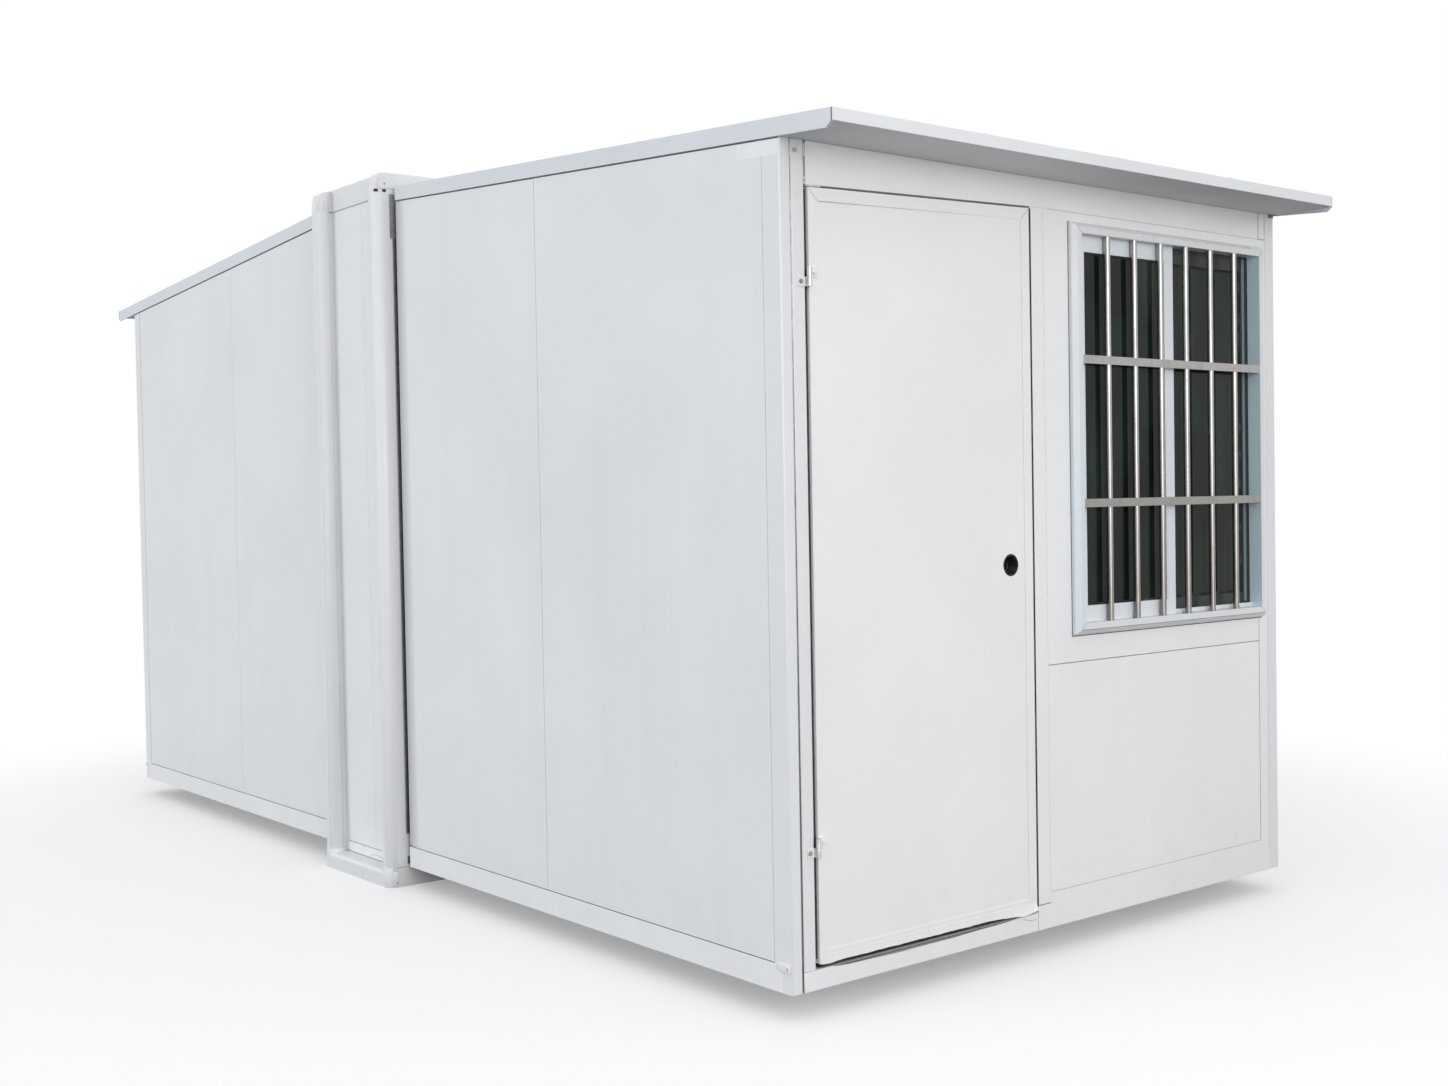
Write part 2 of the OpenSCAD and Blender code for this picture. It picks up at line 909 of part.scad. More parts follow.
// Seals in the gap between the core and the wings: upright ones at the end walls, level ones at the roofs
module wing_seals() {
    color(dark)
        both_wings() {
            both_ends()
                block([-half_w + seal_back, -wing_in, floor_z + strip_t],
                      [-half_w + seal_back + seal_w, -core_half, soffit(wing_depth) - seam]);
            block([-post_in, -wing_in, core_h - core_roof_t], [post_in, -core_half, core_h - core_fascia_h]);
        }
}

core_base_frame();
core_floor();
core_posts_left();
core_posts_right();
core_end_panel_left();
core_end_panel_right();
core_top_frame();
core_roof();
front_floor();
front_sole_rails();
front_end_wall_left();
front_end_wall_right();
front_corner_posts();
front_head_rail();
front_roof();
front_roof_trim();
front_feet();
front_threshold();
front_bottom_rail();
hinge_jamb();
front_stiles();
front_lower_panel();
front_window_panel();
window_casing();
window_guard();
window_sash_left();
window_sash_right();
window_glass();
door_leaf();
door_edge_trim();
door_hinge_knuckles();
door_hinge_pins();
back_floor();
back_sole_rails();
back_end_wall_left();
back_end_wall_right();
back_corner_posts();
back_head_rail();
back_bottom_rail();
back_wall();
back_roof();
back_roof_trim();
back_feet();
floor_joint_strips();
wing_seals();
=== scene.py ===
from math import cos, pi, radians, sin

import bmesh
import bpy
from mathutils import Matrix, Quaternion, Vector


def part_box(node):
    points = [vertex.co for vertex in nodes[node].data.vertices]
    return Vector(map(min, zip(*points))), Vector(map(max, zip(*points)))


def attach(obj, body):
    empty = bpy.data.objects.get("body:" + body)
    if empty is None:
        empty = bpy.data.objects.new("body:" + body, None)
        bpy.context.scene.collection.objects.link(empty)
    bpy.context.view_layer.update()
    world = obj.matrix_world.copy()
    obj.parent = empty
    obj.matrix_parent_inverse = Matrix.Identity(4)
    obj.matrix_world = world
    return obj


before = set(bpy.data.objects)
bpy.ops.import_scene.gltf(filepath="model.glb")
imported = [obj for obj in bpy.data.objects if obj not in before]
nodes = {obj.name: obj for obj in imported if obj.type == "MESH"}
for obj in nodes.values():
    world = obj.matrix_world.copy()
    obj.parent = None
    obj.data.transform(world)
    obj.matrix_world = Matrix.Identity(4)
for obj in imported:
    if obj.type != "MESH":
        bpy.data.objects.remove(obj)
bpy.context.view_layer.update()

MM = 0.001

# Reference planes and edges, read from the solids
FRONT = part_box("hinge_jamb")[0].y
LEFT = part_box("front_end_wall_left")[0].x
LEAF_LOW, LEAF_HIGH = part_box("door_leaf")
JAMB_LOW, JAMB_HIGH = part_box("hinge_jamb")
CASING_LOW, CASING_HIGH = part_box("window_casing")
RAIL_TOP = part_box("front_sole_rails")[1].z
CORE_LOW, CORE_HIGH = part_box("core_base_frame")
WALL_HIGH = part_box("front_end_wall_left")[1]
HEAD_LOW, HEAD_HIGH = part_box("front_head_rail")
SILL_LOW, SILL_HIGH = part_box("front_threshold")
STILE_LOW, STILE_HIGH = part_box("front_stiles")
POST_LOW, POST_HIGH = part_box("core_posts_left")
SKIRT_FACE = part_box("core_end_panel_left")[0].x
HINGE_X = (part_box("door_hinge_knuckles")[0].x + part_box("door_hinge_pins")[1].x) / 2

# Sizes and directions that several pieces share
PANEL_T = 50 * MM                      # walls and wing roofs
ROOF_SLOPE = 145 / 2065                # rise over run of the wing roofs
POST_DEPTH = 70 * MM                   # corner posts, along the end walls
TRIM_FACE = FRONT - 1.5 * MM           # face of the leaf's edge trim
FOOT_JOINT = RAIL_TOP + 1.2 * MM       # joint between the walls and the sole rails
CORE_FACE, CORE_CAP = POST_LOW.y, POST_HIGH.z
CORE_INNER = CORE_FACE + 50 * MM       # inner side of the core's front posts
SKIRT_TOP = 94 * MM                    # upper edge of the strip at the foot of the core's end panels
OUT, SIDE_OUT = (0, -1, 0), (-1, 0, 0)


# Mesh helpers

def add_block(bm, low, high, bevel=0.0):
    """Box between two corners with its edges rounded off."""
    low = Vector(low)
    size = Vector(high) - low
    verts = bmesh.ops.create_cube(bm, size=1.0)["verts"]
    for v in verts:
        v.co = Vector([low[i] + (v.co[i] + 0.5) * size[i] for i in range(3)])
    if bevel:
        edges = list(dict.fromkeys(e for v in verts for e in v.link_edges))
        bmesh.ops.bevel(bm, geom=edges, offset=bevel, segments=2, profile=0.5,
                        affect="EDGES", clamp_overlap=True)


def add_lathe(bm, centre, axis, profile, sides=24):
    """Turned shape: profile points are (radius, distance along the axis)."""
    turn = Vector((0, 0, 1)).rotation_difference(Vector(axis)).to_matrix()
    rings = []
    for radius, along in profile:
        if radius < 1e-7:
            rings.append([bm.verts.new(Vector(centre) + turn @ Vector((0, 0, along)))])
            continue
        ring = []
        for i in range(sides):
            a = 2 * pi * i / sides
            point = Vector((radius * cos(a), radius * sin(a), along))
            ring.append(bm.verts.new(Vector(centre) + turn @ point))
        rings.append(ring)
    for low, high in zip(rings, rings[1:]):
        for i in range(sides):
            j = (i + 1) % sides
            if len(low) == 1:
                bm.faces.new((low[0], high[i], high[j]))
            elif len(high) == 1:
                bm.faces.new((low[i], low[j], high[0]))
            else:
                bm.faces.new((low[i], low[j], high[j], high[i]))


def add_screw(bm, centre, axis, radius):
    """Low round screw head with a sunk drive."""
    h = 0.55 * radius
    profile = [(0, 0.35 * h), (0.36 * radius, 0.35 * h), (0.42 * radius, h), (0.75 * radius, 0.9 * h),
               (radius, 0.35 * h), (radius, -0.2 * h), (0, -0.2 * h)]
    add_lathe(bm, centre, axis, profile, sides=16)


def add_hex_bolt(bm, centre, axis, flats):
    """Hexagon head with a chamfered crown on a round washer."""
    r = flats / 1.732
    h = 0.55 * flats
    add_lathe(bm, centre, axis, [(0, 0.12 * h), (1.25 * r, 0.12 * h), (1.3 * r, 0), (0, 0)], sides=24)
    add_lathe(bm, centre, axis, [(0, h), (0.8 * r, h), (r, 0.82 * h), (r, 0.1 * h), (0, 0.1 * h)], sides=6)


def add_frame(bm, x0, x1, z0, z1, y, profile):
    """Upright mitred frame: profile points are (inset from the edges, depth behind y), in a closed loop."""
    rings = []
    for inset, depth in profile:
        corners = [(x0 + inset, z0 + inset), (x1 - inset, z0 + inset),
                   (x1 - inset, z1 - inset), (x0 + inset, z1 - inset)]
        rings.append([bm.verts.new((x, y + depth, z)) for x, z in corners])
    for k, ring in enumerate(rings):
        after = rings[(k + 1) % len(rings)]
        for i in range(4):
            j = (i + 1) % 4
            bm.faces.new((ring[i], ring[j], after[j], after[i]))


def add_sheet(bm, rows, thickness, away):
    """Bent sheet through rows of points, thickened along a direction."""
    count = len(rows[0])
    offset = Vector(away).normalized() * thickness
    near = [[bm.verts.new(p) for p in row] for row in rows]
    far = [[bm.verts.new(Vector(p) + offset) for p in row] for row in rows]
    last = len(rows) - 1
    for r in range(last):
        for c in range(count - 1):
            bm.faces.new((near[r][c], near[r][c + 1], near[r + 1][c + 1], near[r + 1][c]))
            bm.faces.new((far[r][c], far[r + 1][c], far[r + 1][c + 1], far[r][c + 1]))
        for c in (0, count - 1):
            bm.faces.new((near[r][c], near[r + 1][c], far[r + 1][c], far[r][c]))
    for c in range(count - 1):
        for r in (0, last):
            bm.faces.new((near[r][c], near[r][c + 1], far[r][c + 1], far[r][c]))


def add_strip(bm, start, end, normal, width, lift):
    """Low bead with slanting sides along a straight joint, its foot sunk a little into the face."""
    start, end, normal = Vector(start), Vector(end), Vector(normal)
    side = (end - start).normalized().cross(normal)
    sunk = 0.1 * MM
    section = [(-0.5 * width, -sunk), (-0.3 * width, lift), (0.3 * width, lift), (0.5 * width, -sunk)]
    first, last = [[bm.verts.new(p + side * a + normal * b) for a, b in section] for p in (start, end)]
    for i in range(4):
        j = (i + 1) % 4
        bm.faces.new((first[i], first[j], last[j], last[i]))
    bm.faces.new(first)
    bm.faces.new(last)


def front_line(bm, start, end, width, lift, face=FRONT):
    """Strip on a face of the front between two (x, z) points, its width and lift in millimetres."""
    add_strip(bm, (start[0], face, start[1]), (end[0], face, end[1]), OUT, width * MM, lift * MM)


def end_line(bm, face, start, end, width, lift):
    """Strip on a face of the left end between two (y, z) points, its width and lift in millimetres."""
    add_strip(bm, (face, *start), (face, *end), SIDE_OUT, width * MM, lift * MM)


def add_mirrored(bm, across_x, across_y):
    """Adds mirror copies of all that the mesh holds so far."""
    for flip in ([(-1, 1)] if across_x else []) + ([(1, -1)] if across_y else []):
        copy = bmesh.ops.duplicate(bm, geom=bm.verts[:] + bm.edges[:] + bm.faces[:])["geom"]
        for v in (g for g in copy if isinstance(g, bmesh.types.BMVert)):
            v.co.x *= flip[0]
            v.co.y *= flip[1]


def finish_piece(name, bm, material, body, smooth_angle=35):
    """Turns the collected mesh into a named piece that rides on a body."""
    bmesh.ops.recalc_face_normals(bm, faces=bm.faces)
    mesh = bpy.data.meshes.new(name)
    bm.to_mesh(mesh)
    bm.free()
    mesh.materials.append(material)
    mesh.polygons.foreach_set("use_smooth", [True] * len(mesh.polygons))
    mesh.set_sharp_from_angle(angle=radians(smooth_angle))
    piece = bpy.data.objects.new(name, mesh)
    bpy.context.scene.collection.objects.link(piece)
    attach(piece, body)


def seal_piece(name, bm, material, body="cabin"):
    """Finishes a joint, a seal or a dark mark."""
    finish_piece(name, bm, material, body)


# Materials

class Shader:
    """Small wrapper that makes and links nodes of one material."""

    def __init__(self, name):
        self.material = bpy.data.materials.new(name)
        self.material.use_nodes = True
        self.tree = self.material.node_tree
        self.bsdf = self.tree.nodes["Principled BSDF"]
        self.coords = self.make("ShaderNodeTexCoord").outputs["Object"]

    def make(self, kind, inputs=None, **settings):
        """New node: an input is a value or a socket."""
        made = self.tree.nodes.new(kind)
        for key, value in settings.items():
            setattr(made, key, value)
        for key, value in (inputs or {}).items():
            if isinstance(value, bpy.types.NodeSocket):
                self.tree.links.new(value, made.inputs[key])
            else:
                made.inputs[key].default_value = value
        return made

    def noise(self, scale, detail=4.0, stretch=None, rough=0.55):
        source = self.coords
        if stretch:
            source = self.make("ShaderNodeMapping", {"Vector": source, "Scale": stretch}).outputs["Vector"]
        return self.make("ShaderNodeTexNoise", {"Vector": source, "Scale": scale, "Detail": detail,
                                                "Roughness": rough}).outputs["Fac"]

    def ramp(self, value, stops):
        node = self.make("ShaderNodeValToRGB", {"Fac": value})
        marks = node.color_ramp.elements
        while len(marks) < len(stops):
            marks.new(0.5)
        for mark, (place, colour) in zip(marks, stops):
            mark.position = place
            mark.color = (*colour, 1)
        return node.outputs["Color"]

    def span(self, value, low, high, out_low, out_high):
        """Value moved from one range to another."""
        return self.make("ShaderNodeMapRange", {"Value": value, "From Min": low, "From Max": high,
                                                "To Min": out_low, "To Max": out_high}).outputs["Result"]

    def mix(self, factor, first, second):
        node = self.make("ShaderNodeMix", data_type="RGBA")
        for place, value in ((0, factor), (6, first), (7, second)):
            if isinstance(value, bpy.types.NodeSocket):
                self.tree.links.new(value, node.inputs[place])
            else:
                node.inputs[place].default_value = value if place == 0 else (*value, 1)
        return node.outputs[2]

    def times(self, first, second):
        return self.make("ShaderNodeMath", {0: first, 1: second}, operation="MULTIPLY").outputs[0]

    def bump(self, height, distance, strength=1.0, normal=None):
        inputs = {"Height": height, "Distance": distance, "Strength": strength}
        if normal:
            inputs["Normal"] = normal
        return self.make("ShaderNodeBump", inputs).outputs["Normal"]

    def along(self, axis):
        return self.make("ShaderNodeSeparateXYZ", {"Vector": self.coords}).outputs[axis]

    def away(self, axis, place):
        """Distance along an axis from a place, to either side."""
        offset = self.make("ShaderNodeMath", {0: self.along(axis), 1: place}, operation="SUBTRACT")
        return self.make("ShaderNodeMath", {0: offset.outputs[0]}, operation="ABSOLUTE").outputs[0]

    def facing_back(self, axis):
        """1 on faces that look against an axis."""
        normal = self.make("ShaderNodeTexCoord").outputs["Normal"]
        part = self.make("ShaderNodeSeparateXYZ", {"Vector": normal}).outputs[axis]
        return self.span(part, -0.5, -0.9, 0.0, 1.0)

    def out(self, **sockets):
        """Fills the surface's sockets and gives the material."""
        names = {"colour": "Base Color", "rough": "Roughness", "metal": "Metallic", "normal": "Normal",
                 "level": "Specular IOR Level"}
        for key, value in sockets.items():
            socket = self.bsdf.inputs[names[key]]
            if isinstance(value, bpy.types.NodeSocket):
                self.tree.links.new(value, socket)
            elif key == "colour":
                socket.default_value = (*value, 1)
            else:
                socket.default_value = value
        return self.material


def shade(colour, amount):
    """Colour made darker or lighter."""
    return tuple(c * amount for c in colour)


# Colours (linear) and limits that the materials share
DUST = (0.47, 0.46, 0.44)
PALE_DUST = (0.25, 0.25, 0.24)
TARNISH = (0.16, 0.12, 0.09)
# brown of the ground, painted into the guard's bars as a reflection
GROUND_REFLECTION_BROWN = (0.15, 0.125, 0.105)
WHITE = (0.805, 0.813, 0.828)
FRONT_WHITE = (0.868, 0.870, 0.880)
TRIM_WHITE = (0.795, 0.801, 0.814)
RAIL_WHITE = (0.858, 0.862, 0.872)
ALU_WHITE = (0.740, 0.765, 0.795)
EDGE_WHITE = (0.720, 0.748, 0.786)
FILM_WHITE = (0.860, 0.872, 0.900)
# bluish colour of sky light, painted on the casing's inside and near its left edge
REVEAL_PAINTED_SKY_LIGHT = (0.62, 0.755, 0.83)
STEEL = (0.42, 0.415, 0.405)
SPLASH_HEIGHTS = (0.45, 0.06)        # dust from the ground sets in between these heights
JOINT_SHADE_REACH = 70 * MM                # how far the painted shade beside the core reaches along a wing
REVEAL_RIGHT = (0.5, 0.6)            # the right-hand reveal's painted bluish sky light sets in between these places
REVEAL_LEFT = (25 * MM, 45 * MM)     # the left-hand painted sky light ends this far from the casing's edge
REVEAL_HEIGHTS = (2.1, 1.2)          # and sets in between these heights
WAVE_HEIGHT = 0.02                   # full height of the bump behind the soft waves
REFLECTION_HEIGHTS = (1.70, 1.05)         # the painted reflection of the ground on the guard's bars sets in between these heights
BARREL_EDGE = (7.2 * MM, 7.6 * MM)   # this far from its axis a hinge turns from bare metal to paint
ZINC_METALLIC = 0.8


def coated_sheet(name, colour, rough=0.36, wave=0.0012, streaks=0.05, dust=0.10, under=0.0, joint=0.0,
                 reveal=None):
    """Painted steel sheet: soft waves, fine orange peel, rain streaks, specks and dust near the ground.

    under paints shade on the faces that look down, joint paints shade on the strip beside the core, and
    reveal paints the bluish cast of sky light on the casing's inside and low near its left edge.
    """
    s = Shader(name)
    cloud = s.noise(1.7, 3.0)
    base = s.ramp(cloud, [(0.3, shade(colour, 0.965)), (0.7, shade(colour, 1.02))])
    streak = s.noise(9.0, 5.0, stretch=(1.0, 1.0, 0.06))
    base = s.mix(s.span(streak, 0.56, 0.80, 0.0, streaks), base, DUST)
    speck = s.noise(140.0, 2.0)
    base = s.mix(s.span(speck, 0.72, 0.80, 0.0, 0.16), base, shade(DUST, 0.7))
    low = s.span(s.along("Z"), *SPLASH_HEIGHTS, 0.0, 1.0)
    splash = s.span(s.noise(16.0, 6.0), 0.40, 0.72, 0.0, dust)
    base = s.mix(s.times(low, splash), base, DUST)
    # under: painted shade on faces that look down, such as the roof's soffit
    if under:
        base = s.mix(s.times(s.facing_back("Z"), under), base, shade(DUST, 0.5))
    # joint: painted shade of the core's posts on the wing walls, darkest at the joint and fading along the
    # wing
    if joint:
        core_side = -WALL_HIGH.y
        near = s.span(s.away("Y", 0.0), core_side, core_side + JOINT_SHADE_REACH, joint, 0.0)
        base = s.mix(near, base, shade(DUST, 0.3))
    # reveal: painted bluish sky light on the casing's inside faces and low near its left edge
    if reveal:
        inside = s.times(s.facing_back("X"), s.span(s.along("X"), *REVEAL_RIGHT, 0.0, 1.0))
        base = s.mix(inside, base, reveal)
        left = s.span(s.along("X"), *(CASING_LOW.x + reach for reach in REVEAL_LEFT), 0.5, 0.0)
        base = s.mix(s.times(left, s.span(s.along("Z"), *REVEAL_HEIGHTS, 0.0, 1.0)), base, reveal)
    gloss = s.span(s.noise(5.0, 5.0), 0.3, 0.7, rough - 0.05, rough + 0.08)
    soft = s.bump(s.noise(2.4, 2.0), WAVE_HEIGHT, strength=wave / WAVE_HEIGHT)
    peel = s.bump(s.noise(620.0, 2.0), 0.00012, strength=0.35, normal=soft)
    return s.out(colour=base, rough=gloss, normal=peel)


def brushed_metal(name, colour, rough, stretch, stain, painted_dark=0.0):
    """Bare metal with brush lines and a little tarnish, and a brown painted reflection of the ground towards
    its lower end.
    """
    s = Shader(name)
    lines = s.noise(90.0, 4.0, stretch=stretch)
    base = s.ramp(lines, [(0.25, shade(colour, 0.80)), (0.75, shade(colour, 1.12))])
    base = s.mix(s.span(s.noise(22.0, 6.0), 0.52, 0.75, 0.0, stain), base, TARNISH)
    # browner and darker towards the lower end: painted reflection of the ground
    if painted_dark:
        base = s.mix(s.span(s.along("Z"), *REFLECTION_HEIGHTS, 0.0, painted_dark), base, GROUND_REFLECTION_BROWN)
    gloss = s.span(lines, 0.2, 0.8, rough - 0.07, rough + 0.10)
    return s.out(colour=base, rough=gloss, metal=1.0, normal=s.bump(lines, 0.0002, 0.5))


def zinc_metal(name, colour, rough, barrel=None):
    """Galvanised steel with a cloudy crystal pattern and dull patches, painted away from a bare barrel."""
    s = Shader(name)
    crystal = s.make("ShaderNodeTexVoronoi", {"Vector": s.coords, "Scale": 70.0}).outputs["Color"]
    grain = s.make("ShaderNodeSeparateColor", {"Color": crystal}).outputs[0]
    base = s.ramp(grain, [(0.0, shade(colour, 0.82)), (1.0, shade(colour, 1.1))])
    dull = s.span(s.noise(14.0, 6.0), 0.5, 0.8, 0.0, 0.5)
    base = s.mix(dull, base, shade(colour, 0.55))
    gloss = s.span(s.noise(25.0, 5.0), 0.3, 0.7, rough - 0.06, rough + 0.12)
    metal = ZINC_METALLIC
    if barrel:
        off = s.away("X", barrel)
        base = s.mix(s.span(off, *BARREL_EDGE, 0.0, 1.0), base, shade(FRONT_WHITE, 0.93))
        metal = s.span(off, *BARREL_EDGE, ZINC_METALLIC, 0.0)
    return s.out(colour=base, rough=gloss, metal=metal, normal=s.bump(grain, 0.0002, 0.3))


def fading_painted_shade(name, low, high, light, dark):
    """Painted shade that darkens upwards, with soft clouds."""
    s = Shader(name)
    base = s.mix(s.span(s.along("Z"), low, high, 0.0, 1.0), light, dark)
    base = s.mix(s.span(s.noise(35.0, 5.0), 0.4, 0.7, 0.0, 0.35), base, shade(dark, 2.0))
    return s.out(colour=base, rough=0.7)


def dark_glass(name):
    """Pane before a dark room: dark colour as painted shade of the room, soft upright bands and green clouds
    as painted reflections, faint smears.
    """
    s = Shader(name)
    painted_reflection_bands = s.noise(5.5, 3.0, stretch=(1.0, 1.0, 0.16))
    base = s.ramp(painted_reflection_bands, [(0.30, (0.003, 0.005, 0.005)), (0.52, (0.008, 0.012, 0.011)),
                          (0.72, (0.030, 0.042, 0.036))])
    # green clouds: painted reflection of foliage
    base = s.mix(s.span(s.noise(4.5, 4.0), 0.44, 0.62, 0.0, 0.8), base, (0.011, 0.022, 0.015))
    smear = s.span(s.noise(7.0, 6.0), 0.45, 0.75, 0.02, 0.10)
    return s.out(colour=base, rough=smear, level=0.16)


def rubber(name, colour):
    """Dull rubber with fine grain and pale dust."""
    s = Shader(name)
    grain = s.noise(260.0, 3.0)
    dusty = s.span(s.noise(18.0, 5.0), 0.5, 0.8, 0.0, 0.35)
    base = s.ramp(grain, [(0.3, shade(colour, 0.8)), (0.7, shade(colour, 1.3))])
    base = s.mix(dusty, base, PALE_DUST)
    return s.out(colour=base, rough=0.75, level=0.3, normal=s.bump(grain, 0.0003, 0.4))


def floor_board(name):
    """Sealed fibre-cement floor: grey, mottled, with fine pits."""
    s = Shader(name)
    cloud = s.noise(3.0, 6.0)
    base = s.ramp(cloud, [(0.3, (0.30, 0.285, 0.26)), (0.7, (0.42, 0.40, 0.37))])
    fibre = s.noise(60.0, 6.0, stretch=(0.2, 1.0, 1.0))
    base = s.mix(s.span(fibre, 0.5, 0.8, 0.0, 0.35), base, (0.20, 0.19, 0.17))
    return s.out(colour=base, rough=s.span(cloud, 0.3, 0.7, 0.5, 0.7), normal=s.bump(fibre, 0.0005, 0.5))


def sealant(name, colour):
    """Tooled joint sealant that has picked up some dust."""
    s = Shader(name)
    cloud = s.noise(30.0, 5.0)
    base = s.ramp(cloud, [(0.3, shade(colour, 0.75)), (0.7, shade(colour, 1.25))])
    return s.out(colour=base, rough=0.6, level=0.3, normal=s.bump(s.noise(300.0, 2.0), 0.0002, 0.4))


# the core's end panels get the wall white made lighter: painted light against the posts' shade
sheet_paint = coated_sheet("sheet_paint", shade(WHITE, 1.06))
# the wing walls carry painted shade beside the core
wing_paint = coated_sheet("wing_paint", WHITE, joint=0.5)
front_paint = coated_sheet("front_paint", FRONT_WHITE, wave=0.0010, streaks=0.04)
frame_paint = coated_sheet("frame_paint", TRIM_WHITE, rough=0.33, wave=0.0005, streaks=0.04, dust=0.05)
rail_paint = coated_sheet("rail_paint", RAIL_WHITE, rough=0.33, wave=0.0006, streaks=0.04, dust=0.06)
edge_paint = coated_sheet("edge_paint", EDGE_WHITE, rough=0.36, wave=0.0006, streaks=0.03, dust=0.0)
# the roof's down-facing soffit carries painted shade
roof_paint = coated_sheet("roof_paint", WHITE, rough=0.62, wave=0.0010, streaks=0.03, dust=0.0, under=0.24)
door_paint = coated_sheet("door_paint", FRONT_WHITE, rough=0.34, wave=0.0016, streaks=0.03)
# casing: the trim white made darker as painted shade of the roof, with painted sky light on its reveal
casing_paint = coated_sheet("casing_paint", shade(TRIM_WHITE, 0.955), rough=0.30, wave=0.0003, streaks=0.06,
                            reveal=REVEAL_PAINTED_SKY_LIGHT)
sash_paint = coated_sheet("sash_paint", ALU_WHITE, rough=0.30, wave=0.0002, streaks=0.08)
# the inner sash is white aluminium like the outer one; its near-black colour is painted shade
sash_painted_shade = coated_sheet("sash_painted_shade", (0.012, 0.014, 0.013), rough=0.40, wave=0.0002, streaks=0.01,
                         dust=0.0)
# teal colour of the white inner stile in bluish shade: painted shade
sash_painted_sky_shade = coated_sheet("sash_painted_sky_shade", (0.15, 0.225, 0.24), rough=0.30, wave=0.0002, streaks=0.05, dust=0.0)
guard_metal = brushed_metal("guard_metal", STEEL, 0.28, (4.0, 4.0, 0.10), 0.22, painted_dark=0.55)
strip_metal = brushed_metal("strip_metal", (0.62, 0.63, 0.65), 0.36, (0.05, 4.0, 4.0), 0.15)
hinge_metal = zinc_metal("hinge_metal", (0.60, 0.60, 0.60), 0.36, barrel=HINGE_X)
foot_metal = zinc_metal("foot_metal", (0.50, 0.51, 0.52), 0.42)
screw_metal = zinc_metal("screw_metal", (0.42, 0.42, 0.43), 0.38)
window_glass = dark_glass("window_glass_painted_reflections")
black_rubber = rubber("black_rubber", (0.012, 0.012, 0.013))
board = floor_board("board")
dark_joint = sealant("dark_joint", (0.11, 0.11, 0.11))
grey_joint = sealant("grey_joint", (0.42, 0.43, 0.44))
mid_joint = sealant("mid_joint", (0.24, 0.24, 0.245))
foam_white = sealant("foam_white", (0.62, 0.61, 0.58))
pale_joint = sealant("pale_joint", (0.64, 0.64, 0.645))
bead_grey = sealant("bead_grey", (0.27, 0.268, 0.26))
# painted shade on the threshold's face under the leaf, darker upwards
sill_painted_shade = fading_painted_shade("sill_painted_shade", SILL_HIGH.z - 9 * MM, SILL_HIGH.z - 1 * MM,
                          (0.36, 0.385, 0.40), (0.05, 0.055, 0.06))
# grey of the block under the jamb's tab: painted shade
bracket_painted_shade = coated_sheet("bracket_painted_shade", (0.44, 0.44, 0.44), rough=0.45, wave=0.0004, streaks=0.1,
                             dust=0.0)
film = coated_sheet("film", FILM_WHITE, rough=0.24, wave=0.0020, streaks=0.0, dust=0.0)

NODE_LOOKS = {
    sheet_paint: ["core_end_panel_left", "core_end_panel_right"],
    wing_paint: ["front_end_wall_left", "front_end_wall_right",
                 "back_end_wall_left", "back_end_wall_right"],
    front_paint: ["front_lower_panel", "front_window_panel", "back_wall"],
    frame_paint: ["core_base_frame", "core_posts_left", "core_posts_right", "core_top_frame",
                  "front_corner_posts", "hinge_jamb", "back_corner_posts"],
    rail_paint: ["front_sole_rails", "front_head_rail", "front_threshold", "front_bottom_rail",
                 "front_stiles", "back_sole_rails", "back_head_rail", "back_bottom_rail"],
    edge_paint: ["front_roof_trim", "back_roof_trim"],
    roof_paint: ["core_roof", "front_roof", "back_roof"],
    door_paint: ["door_leaf", "door_edge_trim"],
    casing_paint: ["window_casing"],
    sash_paint: ["window_sash_left"],
    sash_painted_shade: ["window_sash_right"],
    guard_metal: ["window_guard"],
    strip_metal: ["floor_joint_strips"],
    hinge_metal: ["door_hinge_knuckles", "door_hinge_pins"],
    foot_metal: ["front_feet", "back_feet"],
    window_glass: ["window_glass"],
    black_rubber: ["wing_seals"],
    board: ["core_floor", "front_floor", "back_floor"],
}

EDGE_ROUND = 1.2 * MM
SOFT_EDGED = {sheet_paint, wing_paint, front_paint, frame_paint, rail_paint, edge_paint, roof_paint,
              door_paint, casing_paint, sash_paint, sash_painted_shade}
THIN_EDGES = {"door_edge_trim": 0.4 * MM, "core_end_panel_left": 0.6 * MM,
              "core_end_panel_right": 0.6 * MM}


def round_edges(piece, width):
    """Rolled sheet edges, as modifiers so that the solid's own mesh stays as it is."""
    weld = piece.modifiers.new("weld", "WELD")
    weld.merge_threshold = 0.02 * MM
    bevel = piece.modifiers.new("rolled_edges", "BEVEL")
    bevel.width = width
    bevel.segments = 2
    bevel.limit_method = "ANGLE"
    bevel.angle_limit = radians(30)
    bevel.harden_normals = True


for material, names in NODE_LOOKS.items():
    for name in names:
        for material_slot in nodes[name].material_slots:
            material_slot.material = material
        if material in SOFT_EDGED:
            round_edges(nodes[name], THIN_EDGES.get(name, EDGE_ROUND))


# Fittings of the window

def glazing_gaskets():
    """Black rubber round both faces of each pane."""
    stile, rail, half_glass = 40 * MM, 50 * MM, 2.5 * MM
    width, lift = 7 * MM, 4.5 * MM
    bm = bmesh.new()
    for name in ("window_sash_left", "window_sash_right"):
        low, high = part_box(name)
        mid = (low.y + high.y) / 2
        for side in (-1, 1):
            face, rise = side * half_glass, side * lift
            profile = [(0, face), (width, face), (width * 0.7, face + rise * 0.5), (0, face + rise)]
            add_frame(bm, low.x + stile, high.x - stile, low.z + rail, high.z - rail, mid, profile)
    seal_piece("glazing_gaskets", bm, black_rubber)


